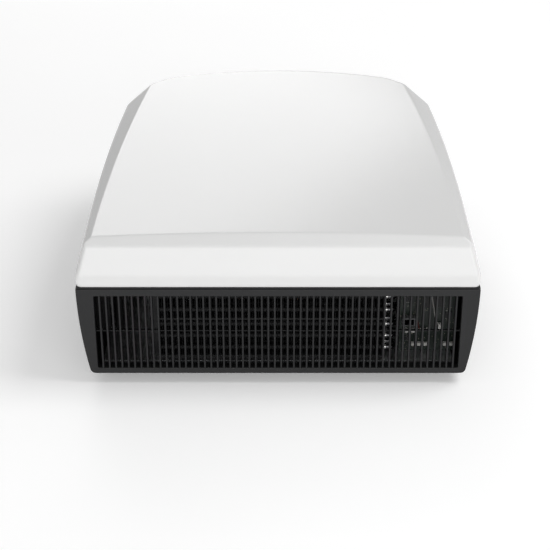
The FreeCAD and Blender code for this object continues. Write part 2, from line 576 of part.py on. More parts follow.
# (x from the outer side wall, z below the seam, width, height, stand-off)
PARTS = [(-85, -72, 16, 11, 9.0), (-80.2, -82.6, 3.5, 4, 5.0), (-73, -82.6, 4.7, 4, 5.0),
         (-65.3, -81, 4.1, 2.4, 4.0), (-57.7, -81, 4.7, 2.4, 4.0), (-41.6, -77.1, 3.8, 5.5, 6.0),
         (-72.3, -100.7, 3.1, 3, 5.0), (-65.3, -100.7, 4.2, 3, 5.0), (-57.7, -100.7, 4.5, 3, 5.0),
         (-34.9, -100.7, 4.2, 3, 5.0), (-27.2, -100.7, 4.2, 3, 5.0), (-60, -50, 22, 20, 4.0)]
for x, z, width, height, off in PARTS:
    driver.append(box(HALF_W + x, HALF_W + x + width, DRIVER_Y - off, DRIVER_Y,
                      SEAM_Z + z, SEAM_Z + z + height))
save("driver_board", driver[0].fuse(driver[1:]))

# Laser block, cold plate and the pipes back to the header
MOUNT_Y = FRONT_Y - MOUNT_FROM_FRONT
laser_y0 = fan_y[1] + 10
engine_y0 = laser_y0 + 0.3 * (MOUNT_Y - laser_y0) + 2
snout_z = PLATE_TOP + 57
laser = box(-50, 50, laser_y0, engine_y0 - 3, PLATE_TOP, PLATE_TOP + 80)
laser = laser.cut([box(-45 + 10 * i, -41 + 10 * i, laser_y0 + 6, engine_y0 - 8, PLATE_TOP + 72,
                       PLATE_TOP + 81) for i in range(9)])
save("laser_module", laser.fuse(rod_y(12.0, engine_y0 - 4, engine_y0, 0, snout_z)))
cold_y = laser_y0 - 6
save("cold_plate", box(-48, 48, cold_y, laser_y0, PLATE_TOP + 10, PLATE_TOP + 76))
pipes = []
pipe_x, pipe_y = rad_x[0] - 4, cold_y + 3
for z in (PLATE_TOP + 25, PLATE_TOP + 65):
    for_bend = 12.0
    corner = V(pipe_x + for_bend, pipe_y - for_bend, z)
    ring = Part.Face(Part.Wire(Part.makeCircle(2.5, V(pipe_x, pipe_y - for_bend, z), ALONG)))
    pipe = ring.revolve(corner, V(0, 0, -1), 90)
    pipes.append(pipe.fuse([rod_y(2.5, frame_y[1], pipe_y - for_bend, pipe_x, z),
                            rod_x(2.5, pipe_x + for_bend, -48, pipe_y, z)]))
save("coolant_pipes", Part.makeCompound(pipes))

# Light engine: an open tray with the wheel motor; prism and panels at the lens axis
ENGINE_HALF = 100.0
tray_z = PLATE_TOP + 4
engine = box(-ENGINE_HALF, ENGINE_HALF, engine_y0, MOUNT_Y, tray_z, SEAM_Z - 3)
engine = engine.cut(box(-ENGINE_HALF + 3, ENGINE_HALF - 3, engine_y0 + 3, MOUNT_Y - 3,
                        tray_z + 3, SEAM_Z))
engine = engine.fuse([rod_z(5, PLATE_TOP, tray_z + 1, sx * (ENGINE_HALF - 15), y)
                      for sx in (-1, 1) for y in (engine_y0 + 15, CREST_Y - 105)])
wheel_x, wheel_z, wheel_y = -55.0, PLATE_TOP + 50, engine_y0 + 42
engine = engine.fuse([box(wheel_x - 5, wheel_x + 5, wheel_y - 18, wheel_y - 4, tray_z + 2, wheel_z),
                      rod_y(11, wheel_y - 18, wheel_y - 4, wheel_x, wheel_z),
                      rod_y(SHAFT_RADIUS, wheel_y - 5, wheel_y + 5, wheel_x, wheel_z)])
prism_y = MOUNT_Y - 32
PRISM = 34.0
engine = engine.fuse(box(-12, 12, prism_y - 12, prism_y + 12, tray_z + 2, LENS_Z - PRISM / 2))
engine = engine.cut([rod_y(12, engine_y0 - 1, engine_y0 + 4, 0, snout_z),
                     rod_y(STUB_RADIUS + 12, MOUNT_Y - 4, MOUNT_Y + 1, 0, LENS_Z)])
save("light_engine", engine)
wheel = rod_y(30, wheel_y - 0.5, wheel_y + 0.5, wheel_x, wheel_z).fuse(
    rod_y(8, wheel_y - 3, wheel_y + 3, wheel_x, wheel_z)).cut(
    rod_y(SHAFT_RADIUS + RUNNING_GAP, wheel_y - 5, wheel_y + 4, wheel_x, wheel_z))
save("phosphor_wheel", wheel)
half = PRISM / 2
save("prism_block", box(-half, half, prism_y - half, prism_y + half, LENS_Z - half, LENS_Z + half))
save("display_panels", Part.makeCompound([
    box(-half - 3, -half, prism_y - 14, prism_y + 14, LENS_Z - 14, LENS_Z + 14),
    box(half, half + 3, prism_y - 14, prism_y + 14, LENS_Z - 14, LENS_Z + 14),
    box(-14, 14, prism_y - half - 3, prism_y - half, LENS_Z - 14, LENS_Z + 14)]))

# Lens mount and the two shift carriages
GUIDE_X, LUG = 76.0, 8.0
mount_low, mount_high = LENS_Z - 80, LENS_Z + 75
mount = box(-90, 90, MOUNT_Y, MOUNT_Y + 4, mount_low, mount_high)
mount = mount.cut(rod_y(STUB_RADIUS + 12, MOUNT_Y - 1, MOUNT_Y + 5, 0, LENS_Z))
guide_y = MOUNT_Y + 11
for x in (-GUIDE_X, GUIDE_X):
    for z0 in (mount_low, mount_high - LUG):
        mount = mount.fuse(box(x - 7, x + 7, MOUNT_Y + 3, guide_y + 6, z0, z0 + LUG))
    mount = mount.cut(rod_z(GUIDE_RADIUS, mount_low - 1, mount_high + 1, x, guide_y))
save("lens_mount", mount)
save("guide_rods_vertical", Part.makeCompound(
    [rod_z(GUIDE_RADIUS, mount_low, mount_high, x, guide_y) for x in (-GUIDE_X, GUIDE_X)]))

reach = 57.0
slide_y = guide_y + 13
upright = box(-GUIDE_X - 6, GUIDE_X + 6, guide_y - 3, guide_y + 3, LENS_Z - reach, LENS_Z + reach)
upright = upright.fuse([box(x - 6, x + 6, guide_y - 5.5, guide_y + 5.5, LENS_Z - reach, LENS_Z + reach)
                        for x in (-GUIDE_X, GUIDE_X)])
CROSS_Z = 50.0
lug_x = (60.0, 66.0)
for z in (LENS_Z - CROSS_Z, LENS_Z + CROSS_Z):
    for x0, x1 in (lug_x, (-lug_x[1], -lug_x[0])):
        upright = upright.fuse(box(x0, x1, guide_y + 2, slide_y + 5.5, z - 6, z + 6))
    upright = upright.cut(rod_x(GUIDE_RADIUS, -lug_x[1] - 1, lug_x[1] + 1, slide_y, z))
upright = upright.cut([rod_y(STUB_RADIUS + 8, guide_y - 9, guide_y + 9, 0, LENS_Z)] + [
    rod_z(GUIDE_RADIUS + RUNNING_GAP, mount_low, mount_high, x, guide_y) for x in (-GUIDE_X, GUIDE_X)])
save("vertical_carriage", upright)
save("guide_rods_horizontal", Part.makeCompound(
    [rod_x(GUIDE_RADIUS, -lug_x[1], lug_x[1], slide_y, z)
     for z in (LENS_Z - CROSS_Z, LENS_Z + CROSS_Z)]))
across = box(-50, 50, slide_y - 3, slide_y + 3, LENS_Z - CROSS_Z, LENS_Z + CROSS_Z)
across = across.fuse([box(-50, 50, slide_y - 5.5, slide_y + 5.5, z - 5.5, z + 5.5)
                      for z in (LENS_Z - CROSS_Z, LENS_Z + CROSS_Z)])
across = across.cut([rod_x(GUIDE_RADIUS + RUNNING_GAP, -60, 60, slide_y, z)
                     for z in (LENS_Z - CROSS_Z, LENS_Z + CROSS_Z)] +
                    [rod_y(STUB_RADIUS, slide_y - 9, slide_y + 9, 0, LENS_Z)])
save("horizontal_carriage", across)

# Lens barrel with seats for its two rings
flange_y = slide_y + 3
zoom_y = (FRONT_Y - 85, FRONT_Y - 70)
focus_y = (FRONT_Y - 55, FRONT_Y - 40)
barrel_end = FRONT_Y - 24
stub_y = MOUNT_Y - 10
barrel = turned([(24, stub_y), (STUB_RADIUS, stub_y), (STUB_RADIUS, flange_y), (44, flange_y),
                 (44, flange_y + 4), (BARREL_RADIUS, flange_y + 4), (BARREL_RADIUS, zoom_y[0] - 0.1),
                 (RING_SEAT_RADIUS, zoom_y[0] - 0.1), (RING_SEAT_RADIUS, zoom_y[1] + 0.1),
                 (BARREL_RADIUS, zoom_y[1] + 0.1), (BARREL_RADIUS, focus_y[0] - 0.1),
                 (RING_SEAT_RADIUS, focus_y[0] - 0.1), (RING_SEAT_RADIUS, focus_y[1] + 0.1),
                 (BARREL_RADIUS, focus_y[1] + 0.1), (BARREL_RADIUS, barrel_end), (36, barrel_end),
                 (36, flange_y + 8), (24, flange_y + 4)])
save("lens_barrel", barrel)
save("rear_lens", turned([(0.001, stub_y - 1.5), (15, stub_y + 0.2), (24, stub_y + 3), (24, stub_y + 8),
                          (0.001, stub_y + 8)]))
save("dust_shield", turned([(BARREL_RADIUS, FRONT_Y - 30), (66, FRONT_Y - 30), (66, FRONT_Y - 28.5),
                            (BARREL_RADIUS, FRONT_Y - 28.5)]))


def involute(alpha):
    return math.tan(alpha) - alpha


def gear(teeth, y0, y1, x, z, turn):
    """Spur gear about a line along Y; turn is the angle of one tooth's middle."""
    pitch = teeth * GEAR_MODULE / 2
    base = pitch * math.cos(math.radians(20))
    half_at_pitch = (math.pi * GEAR_MODULE - 2 * BACKLASH) / 4 / pitch
    radii = [pitch - 1.25 * GEAR_MODULE, pitch - 0.6 * GEAR_MODULE, pitch,
             pitch + 0.5 * GEAR_MODULE, pitch + 0.95 * GEAR_MODULE]
    flank = []
    for r in radii:
        alpha = math.acos(min(1.0, base / max(r, base)))
        flank.append((r, half_at_pitch + involute(math.radians(20)) - involute(alpha)))
    points = []
    for i in range(teeth):
        middle = turn + 2 * math.pi * i / teeth
        sides = [(r, middle - h) for r, h in flank] + [(r, middle + h) for r, h in reversed(flank)]
        points += [V(x + r * math.cos(a), y0, z + r * math.sin(a)) for r, a in sides]
    return outline(points).extrude(V(0, y1 - y0, 0))


centre = (RING_TEETH + PINION_TEETH) * GEAR_MODULE / 2
motors = []
for ring_name, pinion_name, span, angle in (("focus_ring", "focus_pinion", focus_y, 125.0),
                                            ("zoom_ring", "zoom_pinion", zoom_y, 55.0)):
    turn = math.radians(angle)
    px, pz = centre * math.cos(turn), LENS_Z + centre * math.sin(turn)
    teeth = gear(RING_TEETH, span[0] + 1, span[0] + 7, 0, LENS_Z, turn)
    ring = teeth.fuse(rod_y(RING_RADIUS, span[0], span[1], 0, LENS_Z))
    grips = [rod_y(1.2, span[0] + 8, span[1] + 1, RING_RADIUS * math.cos(math.radians(10 * i)),
                   LENS_Z + RING_RADIUS * math.sin(math.radians(10 * i))) for i in range(36)]
    save(ring_name, ring.cut(grips + [rod_y(RING_SEAT_RADIUS + RUNNING_GAP, span[0] - 1,
                                            span[1] + 1, 0, LENS_Z)]))
    pinion = gear(PINION_TEETH, span[0] + 1, span[0] + 7, px, pz,
                  turn + math.pi + math.pi / PINION_TEETH)
    save(pinion_name, pinion.fuse(rod_y(SHAFT_RADIUS, span[0] - 8, span[0] + 9, px, pz)))
    band = rod_y(BARREL_RADIUS + 2.5, span[0] - 13, span[0] - 8, 0, LENS_Z)
    arm = box(BARREL_RADIUS, centre, span[0] - 13, span[0] - 8, -4, 4)
    arm.rotate(V(0, 0, 0), ALONG, -angle)
    arm.translate(V(0, 0, LENS_Z))
    motor = band.fuse([arm, rod_y(7.0, span[0] - 23, span[0] - 2, px, pz)])
    motors.append(motor.cut([rod_y(BARREL_RADIUS, span[0] - 14, span[0] - 7, 0, LENS_Z),
                             rod_y(SHAFT_RADIUS + RUNNING_GAP, span[0] - 9, span[0], px, pz)]))
save("lens_motors", Part.makeCompound(motors))

cell_y = barrel_end + 4
save("front_lens_cell", turned([(33, barrel_end - 14), (36 - RUNNING_GAP, barrel_end - 14),
                                (36 - RUNNING_GAP, cell_y), (44, cell_y), (44, cell_y + 11),
                                (43, cell_y + 12), (38, cell_y + 12), (38, cell_y + 2),
                                (33, cell_y + 2)]))
dome = []
for i in range(7):
    r = 38.0 * (1 - i / 6)
    dome.append((max(r, 0.001), cell_y + 6 + 4.5 * (1 - (r / 38.0) ** 2)))
save("front_lens", turned([(0.001, cell_y + 2), (38, cell_y + 2)] + dome))


# Feet: two screw feet in front, two fixed ones behind
KNOB_LOW = 5.2
KNOB_HIGH = FLOOR_Z - 1.5
for side, (x, y) in zip(("left", "right"), FOOT_SPOTS):
    pad = rod_z(FOOT_RADIUS, 0, KNOB_LOW - 0.2, x, y).fuse(rod_z(3.0, 0, KNOB_LOW + 3.6, x, y))
    save("foot_" + side + "_pad", pad)
    knob = rod_z(FOOT_RADIUS + 1, KNOB_LOW, KNOB_HIGH, x, y).fuse(
        rod_z(STEM_RADIUS, KNOB_HIGH - 1, STEM_TOP, x, y))
    grips = [rod_z(1.6, KNOB_LOW - 1, KNOB_HIGH + 1,
                   x + (FOOT_RADIUS + 1.6) * math.cos(math.radians(20 * i)),
                   y + (FOOT_RADIUS + 1.6) * math.sin(math.radians(20 * i))) for i in range(18)]
    save("foot_" + side + "_screw", knob.cut(grips + [
        rod_z(3.0 + RUNNING_GAP, KNOB_LOW - 1, KNOB_LOW + 4, x, y)]))
save("rear_feet", Part.makeCompound([
    Part.makeCone(15, 17, FLOOR_Z, V(x, y, 0), UP) for x, y in REAR_FOOT_SPOTS]))
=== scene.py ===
"""Home cinema laser projector. Metres, +Z up, the lens looks along +Y and the rear vent faces -Y."""
import math

import bmesh
import bpy
import numpy as np
from mathutils import Matrix, Vector


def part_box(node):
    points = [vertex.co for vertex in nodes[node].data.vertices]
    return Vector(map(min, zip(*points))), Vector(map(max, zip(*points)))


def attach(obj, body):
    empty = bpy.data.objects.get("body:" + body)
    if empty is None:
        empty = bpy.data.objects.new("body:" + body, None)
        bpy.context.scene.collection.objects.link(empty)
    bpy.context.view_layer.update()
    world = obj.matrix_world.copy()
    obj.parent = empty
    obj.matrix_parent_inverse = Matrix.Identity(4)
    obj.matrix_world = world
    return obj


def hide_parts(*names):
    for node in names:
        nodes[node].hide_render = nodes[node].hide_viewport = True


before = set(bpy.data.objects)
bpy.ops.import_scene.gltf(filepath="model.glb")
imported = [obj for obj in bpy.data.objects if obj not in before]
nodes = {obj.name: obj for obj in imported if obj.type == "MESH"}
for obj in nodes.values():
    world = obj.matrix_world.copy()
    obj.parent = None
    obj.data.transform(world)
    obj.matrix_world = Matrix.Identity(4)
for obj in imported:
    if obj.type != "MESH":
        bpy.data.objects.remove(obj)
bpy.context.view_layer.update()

# ---------------------------------------------------------------- camera
# A long lens a little above table height, looking square at the rear vent.
# Its aim point is the seam between cover and case, on the rear face.
ELEVATION = math.radians(28.5)
SEAM_POINT = Vector((0.0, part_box("rear_grille")[0].y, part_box("rear_grille")[1].z))
SEAM_DISTANCE = 1.623
SEAM_BELOW_AXIS = 0.0143
FOCAL_LENGTH, SENSOR_WIDTH, SIDE_SHIFT = 94.3, 36.0, -0.00545
forward = Vector((0.0, math.cos(ELEVATION), -math.sin(ELEVATION)))
upward = Vector((0.0, math.sin(ELEVATION), math.cos(ELEVATION)))
camera_data = bpy.data.cameras.new("camera")
camera_data.lens = FOCAL_LENGTH
camera_data.sensor_width = SENSOR_WIDTH
camera_data.shift_x = SIDE_SHIFT
camera = bpy.data.objects.new("camera", camera_data)
camera.location = SEAM_POINT - forward * SEAM_DISTANCE + upward * SEAM_BELOW_AXIS
camera.rotation_euler = (math.pi / 2 - ELEVATION, 0.0, 0.0)
bpy.context.collection.objects.link(camera)
bpy.context.scene.camera = camera

# ---------------------------------------------------------------- light
# A white studio: an even surround, a soft key high on the right that throws
# the shadow to the left, a low panel behind the camera for the rear face and
# a tilted panel beyond the lens end that shows in the satin top.
view = bpy.context.scene.view_settings
view.view_transform = "Standard"
view.look = "None"
world = bpy.data.worlds.new("studio")
bpy.context.scene.world = world
world.use_nodes = True
world.node_tree.nodes["Background"].inputs["Color"].default_value = (1.0, 1.0, 1.0, 1.0)
world.node_tree.nodes["Background"].inputs["Strength"].default_value = 0.35


def area_light(name, place, aim, size, power, roll=0.0):
    data = bpy.data.lights.new(name, "AREA")
    data.shape = "RECTANGLE"
    data.size, data.size_y = size
    data.energy = power
    lamp = bpy.data.objects.new(name, data)
    lamp.location = place
    turn = (Vector(aim) - Vector(place)).to_track_quat("-Z", "Y").to_matrix()
    lamp.rotation_euler = (turn @ Matrix.Rotation(math.radians(roll), 3, "Z")).to_euler()
    bpy.context.collection.objects.link(lamp)


area_light("key", (1.55, -0.1, 2.35), (0.0, 0.0, 0.1), (1.5, 1.5), 35.0)
area_light("rear_fill", (0.25, -2.7, 0.8), (0.0, -0.26, 0.12), (3.6, 1.5), 43.0)
area_light("top_panel", (-0.66, 3.0, 1.6), (-0.1, 0.1, 0.18), (2.4, 1.8), 32.0, roll=40.0)


# ---------------------------------------------------------------- floor
# A wide sheet of matt white studio card, lit a little from below so that it
# stays white. The shorthand for shader maths is used here for the first time.
class Socket:
    """One output of a node, so that sums of node outputs read as plain sums."""

    def __init__(self, tree, socket=None):
        self.tree, self.socket = tree, socket

    def node(self, kind, settings=None, inputs=None, out=0):
        node = self.tree.nodes.new(kind)
        for key, value in (settings or {}).items():
            setattr(node, key, value)
        for key, value in (inputs or {}).items():
            if isinstance(value, Socket):
                self.tree.links.new(value.socket, node.inputs[key])
            else:
                node.inputs[key].default_value = value
        return Socket(self.tree, node.outputs[out])

    def maths(self, operation, *terms):
        return self.node("ShaderNodeMath", {"operation": operation}, dict(enumerate(terms)))

    def __add__(self, other):
        return self.maths("ADD", self, other)

    def __sub__(self, other):
        return self.maths("SUBTRACT", self, other)

    def __rsub__(self, other):
        return self.maths("SUBTRACT", other, self)

    def __mul__(self, other):
        return self.maths("MULTIPLY", self, other)

    def __truediv__(self, other):
        return self.maths("DIVIDE", self, other)

    def __neg__(self):
        return self.maths("MULTIPLY", self, -1.0)

    def __abs__(self):
        return self.maths("ABSOLUTE", self)

    __radd__, __rmul__ = __add__, __mul__

    def place(self):
        """Object coordinates as three numbers, in mm."""
        spot = self.node("ShaderNodeTexCoord", out=3)
        return [self.node("ShaderNodeSeparateXYZ", None, {0: spot}, out=k) * 1000.0 for k in range(3)]

    def step(self, soft):
        """0 where this is below zero, 1 above, with an edge that soft is the width of."""
        return self.node("ShaderNodeMapRange", {"interpolation_type": "SMOOTHSTEP"},
                         {0: self, 1: -soft / 2, 2: soft / 2, 3: 0.0, 4: 1.0})

    def noise(self, scale, detail=2.0, stretch=None):
        spot = self.node("ShaderNodeTexCoord", out=3)
        if stretch:
            spot = self.node("ShaderNodeVectorMath", {"operation": "MULTIPLY"}, {0: spot, 1: stretch})
        return self.node("ShaderNodeTexNoise", None, {"Scale": scale, "Detail": detail, "Vector": spot})

    def between(self, dark, light):
        """Colour from dark to light as this number goes from 0 to 1; each may be a Socket."""
        ends = [end if isinstance(end, Socket) else (*end, 1.0) for end in (dark, light)]
        return self.node("ShaderNodeMix", {"data_type": "RGBA"}, {0: self, 6: ends[0], 7: ends[1]}, out=2)


def finish_of(name, colour, roughness, metallic=0.0, coat=0.0, bump=None, bump_height=0.0, edge=0.0,
              **fixed):
    """A Principled material; colour, roughness, metallic and bump may be functions of a blank Socket."""
    material = bpy.data.materials.new(name)
    material.use_nodes = True
    tree = material.node_tree
    shader = tree.nodes["Principled BSDF"]
    blank = Socket(tree)
    for key, value in (("Base Color", colour), ("Roughness", roughness), ("Metallic", metallic)):
        value = value(blank) if callable(value) else value
        if isinstance(value, Socket):
            tree.links.new(value.socket, shader.inputs[key])
        else:
            shader.inputs[key].default_value = (*value, 1.0) if key == "Base Color" else value
    shader.inputs["Coat Weight"].default_value = coat
    for key, value in fixed.items():
        shader.inputs[key.replace("_", " ")].default_value = value
    if bump:
        inputs = {"Strength": 1.0, "Distance": bump_height, "Height": bump(blank)}
        if edge:
            inputs["Normal"] = blank.node("ShaderNodeBevel", {"samples": 4}, {"Radius": edge})
        tree.links.new(blank.node("ShaderNodeBump", None, inputs).socket, shader.inputs["Normal"])
    return material


def mottled(dark, light, scale, detail=2.0):
    """A colour that drifts between dark and light over the piece."""
    return lambda s: s.noise(scale, detail).between(dark, light)


def solid(name, verts, faces, material, smooth=True):
    """A piece at the origin, from vertices in metres."""
    mesh = bpy.data.meshes.new(name)
    mesh.from_pydata([tuple(v) for v in verts], [], faces)
    mesh.materials.append(material)
    mesh.polygons.foreach_set("use_smooth", [smooth] * len(mesh.polygons))
    piece = bpy.data.objects.new(name, mesh)
    bpy.context.collection.objects.link(piece)
    return piece


floor_card = finish_of("floor_card", mottled((0.86, 0.86, 0.86), (0.89, 0.89, 0.89), 3.0),
                       0.9, Emission_Color=(1.0, 1.0, 1.0, 1.0), Emission_Strength=0.21)
floor = solid("floor", [(-6, -6, 0), (6, -6, 0), (6, 6, 0), (-6, 6, 0)], [(0, 1, 2, 3)], floor_card, False)

# ---------------------------------------------------------------- top cover
# One injection moulding of white ABS with a very fine satin texture. Its
# dome, two side slopes and rear ramp meet in small radii; the lip tucks in
# over a dark groove, and a round notch in the front makes room for the lens.
HALF_W, REAR, FRONT, SEAM, CROWN = 230.0, -260.0, 260.0, 127.4, 67.6
WIDEST, SIDE_BOW = REAR + 100.0, 4250.0
DOME_CREST, DOME_RADIUS = REAR + 410.0, 7350.0
ARC_HALF, CORNER_BACK = HALF_W - 75.0, 26.0
CHAMFER_X, CHAMFER_Y = HALF_W - 22.0, FRONT - 95.0
LIP_ROLL, WALL_LEAN, LIP_TUCK = 14.0, 0.29621, 0.7
RAMP_START, RAMP_ANGLE = 46.5, math.radians(39)
COVER_WALL, SCAN, AROUND = 2.5, 4000, 620
LENS_X, LENS_Z, NOTCH = 0.0, 105.0, 72.0


def soft_max(a, b, k):
    gap = np.maximum(k - np.abs(a - b), 0.0)
    return np.maximum(a, b) + gap * gap / (4.0 * k)


def circle_through(p, q, r):
    (ax, ay), (bx, by), (cx, cy) = p, q, r
    d = 2 * (ax * (by - cy) + bx * (cy - ay) + cx * (ay - by))
    a2, b2, c2 = ax * ax + ay * ay, bx * bx + by * by, cx * cx + cy * cy
    x = (a2 * (by - cy) + b2 * (cy - ay) + c2 * (ay - by)) / d
    y = (a2 * (cx - bx) + b2 * (ax - cx) + c2 * (bx - ax)) / d
    return x, y, math.hypot(ax - x, ay - y)


facet_x, facet_y, facet_r = circle_through((HALF_W - 30.5, REAR + 25), (HALF_W - 26, REAR + 190),
                                           (HALF_W - 43.2, REAR + 450))


def plan_distance(x, y):
    """How far outside the front outline a point is, seen from above."""
    slope = 1.878 * CORNER_BACK / ARC_HALF
    bow = ARC_HALF * slope - CORNER_BACK
    bow /= math.sqrt(1 + slope * slope) - 1
    arc = np.hypot(x, y - (FRONT - bow)) - bow
    chamfer = (x - ARC_HALF) * 0.793 + (y - FRONT + CORNER_BACK) * 0.609
    flank = (x - CHAMFER_X) * 0.982 + (y - CHAMFER_Y) * 0.190
    return soft_max(soft_max(arc, chamfer, 6.4), flank, 5.2)


def cover_distance(x, y, z, inset=0.0):
    """How far outside the cover a point is; z is above the seam, all in mm."""
    x = np.abs(x)
    tuck = np.where(z < LIP_ROLL, 1.4 - 0.29286 * z + 0.017347 * z * z,
                    LIP_TUCK + (z - LIP_ROLL) * WALL_LEAN)
    side = np.hypot(x + SIDE_BOW - HALF_W, y - WIDEST) - SIDE_BOW + tuck
    rear = -y + REAR + tuck
    walls = soft_max(soft_max(plan_distance(x, y), side, 1.5), rear, 6.0)
    dome = np.sqrt(x * x + (y - DOME_CREST) ** 2 + (z - CROWN + DOME_RADIUS) ** 2) - DOME_RADIUS
    slope = (np.hypot(x - facet_x, y - facet_y) - facet_r - (60.0 - z) * 1.73205) * 0.5
    start = REAR + LIP_TUCK + (RAMP_START - LIP_ROLL) * WALL_LEAN
    ramp = (start - y) * math.sin(RAMP_ANGLE) + (z - RAMP_START) * math.cos(RAMP_ANGLE)
    top = soft_max(soft_max(dome, slope, 0.8), ramp, 0.9)
    brow = np.clip((y - 190.0) / 40.0, 0.0, 1.0)
    return soft_max(walls, top, 1.3 + 6.7 * brow * brow) + inset


def march(count, near, far, outside):
    """Bisects count distances between near and far until the surface is met."""
    near, far = np.full(count, near), np.full(count, far)
    for _ in range(26):
        middle = (near + far) / 2
        out = outside(middle)
        near, far = np.where(out, near, middle), np.where(out, middle, far)
    return (near + far) / 2


def cover_rings(inset, heights, inward):
    """Rings of points from the lip up the walls, then in over the top."""
    turn = np.linspace(0, 2 * math.pi, SCAN + 1)[:-1]
    r = march(SCAN, 90.0, 400.0, lambda q: cover_distance(q * np.cos(turn), q * np.sin(turn), 20.0) > 0)
    x, y = r * np.cos(turn), r * np.sin(turn)
    step = np.hypot(np.diff(x, append=x[0]), np.diff(y, append=y[0]))
    bend = np.hypot(np.diff(x, 2, append=[x[0], x[1]]), np.diff(y, 2, append=[y[0], y[1]]))
    # points crowd where the outline bends, smoothed over 17 of the scan
    weight = np.cumsum(step + 60.0 * np.convolve(np.concatenate([bend[-8:], bend, bend[:8]]),
                                                 np.ones(17) / 17, "valid"))
    theta = np.interp(np.arange(AROUND) * weight[-1] / AROUND, weight, turn)
    cos, sin = np.cos(theta), np.sin(theta)
    rings = []
    for height in heights:
        r = march(AROUND, 90.0, 400.0, lambda q: cover_distance(q * cos, q * sin, height, inset) > 0)
        rings.append(np.stack([r * cos, r * sin, np.full(AROUND, height)], 1))
    edge = r
    for distance in inward:
        r = edge * (1.0 - distance / 220.0)
        x, y = r * cos, r * sin
        z = march(AROUND, 20.0, 90.0, lambda q: cover_distance(x, y, q, inset) > 0)
        rings.append(np.stack([x, y, z], 1))
    return np.array(rings)


heights = [0, 1, 2.5, 4.5, 7, 9.5, 12, 14, 17, 22, 28, 34, 40, 43.5]
inward = list(np.arange(1.3, 40, 1.3)) + list(np.arange(42, 70, 4)) + list(np.arange(76, 214, 11.5))
outer = cover_rings(0.0, heights, inward)
inner = cover_rings(COVER_WALL, [0, 7, 14, 28, 41], list(np.arange(3, 40, 3)) + [60, 90, 130, 180])
verts, faces = [], []


def add_rings(rings, flip):
    """Adds one skin of the cover, closed by a point in the middle, and returns its first vertex."""
    start = len(verts)
    verts.extend((rings.reshape(-1, 3) + (0, 0, SEAM)) / 1000)
    for i in range(len(rings) - 1):
        for j in range(AROUND):
            a, b = start + i * AROUND + j, start + i * AROUND + (j + 1) % AROUND
            quad = (a, b, b + AROUND, a + AROUND)
            faces.append(quad[::-1] if flip else quad)
    last = start + (len(rings) - 1) * AROUND
    verts.append(np.array([0, 0, rings[-1][:, 2].mean() + SEAM]) / 1000)
    for j in range(AROUND):
        tri = (last + j, last + (j + 1) % AROUND, len(verts) - 1)
        faces.append(tri[::-1] if flip else tri)
    return start


outer_start = add_rings(outer, False)
inner_start = add_rings(inner, True)
for j in range(AROUND):
    k = (j + 1) % AROUND
    faces.append((outer_start + k, outer_start + j, inner_start + j, inner_start + k))


def uneven(spread, least, scale, detail=2.0, stretch=None):
    """A roughness that drifts from least up to least + spread."""
    return lambda s: s.noise(scale, detail, stretch) * spread + least


def grain(scale, detail=2.0, stretch=None):
    """The relief of a moulded, sprayed or machined surface."""
    return lambda s: s.noise(scale, detail, stretch)


def settle(piece, body, slot, *replaced):
    graph = bpy.context.evaluated_depsgraph_get()
    mesh = bpy.data.meshes.new_from_object(piece.evaluated_get(graph))
    piece.modifiers.clear()
    piece.data = mesh
    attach(piece, body)
    if replaced:
        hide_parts(*replaced)
    return piece


white_abs = finish_of(
    "white_abs",
    mottled((0.672, 0.672, 0.669), (0.692, 0.692, 0.689), 9.0, 3.0),
    uneven(0.08, 0.17, 160.0, 4.0),
    bump=grain(2600.0, 2.0), bump_height=0.00003)
cover = solid("top_cover_shell", verts, faces, white_abs)
bpy.ops.mesh.primitive_cylinder_add(vertices=160, radius=NOTCH / 1000, depth=0.2,
                                    location=(LENS_X, 0.26, LENS_Z / 1000),
                                    rotation=(math.pi / 2, 0, 0))
cutter = bpy.context.object
notch = cover.modifiers.new("lens_notch", "BOOLEAN")
notch.operation, notch.solver, notch.object = "DIFFERENCE", "EXACT", cutter
settle(cover, "case", "cover_plastic", "top_cover")
bpy.data.objects.remove(cutter)

# ---------------------------------------------------------------- dark case
# The lower half is charcoal ABS with a spark-eroded matt texture: a tub with
# the floor and both sides, a separate front, and the louvred filter door.


def dress(material, *names):
    for name in names:
        for place in nodes[name].material_slots:
            place.material = material


def charcoal_finish(name, shade, rough):
    dark, light = (shade, shade, shade * 1.07), (shade * 1.25, shade * 1.25, shade * 1.32)
    return finish_of(name, mottled(dark, light, 30.0, 3.0), uneven(0.14, rough, 220.0, 4.0),
                     bump=grain(1800.0, 3.0), bump_height=0.00005, edge=0.0005, Specular_IOR_Level=0.3)


dress(charcoal_finish("charcoal_abs", 0.011, 0.44), "bottom_case", "front_panel", "filter_door")

# ---------------------------------------------------------------- rear grille
# One charcoal moulding closes the back of the tub: a frame with eased edges,
# 56 upright slats with rounded edges and one thin rib along their backs.
GROOVE, REAR_HALF = 2.6, HALF_W - (SIDE_BOW - math.sqrt(SIDE_BOW ** 2 - (WIDEST - REAR) ** 2))
WALL_BULGE = 560.0
BOTTOM, SLOTS, PITCH, SLOT_W = 13.4, 57, 7.372, 5.27
OPEN_X, OPEN_LOW, OPEN_HIGH = SLOTS * PITCH / 2 - (PITCH - SLOT_W) / 2, BOTTOM + 7.5, SEAM - 11.3
OPEN_MID = (OPEN_LOW + OPEN_HIGH) / 2


def frame_distance(x, z):
    bow = WALL_BULGE - np.sqrt(WALL_BULGE ** 2 - (SEAM - z) ** 2)
    sides = soft_max(np.abs(x) - REAR_HALF + bow, BOTTOM - z, 5.9)
    return soft_max(sides, z - SEAM + GROOVE, 0.7)


def opening_distance(x, z):
    return soft_max(np.abs(x) - OPEN_X, np.abs(z - OPEN_MID) - (OPEN_HIGH - OPEN_LOW) / 2, 1.8)


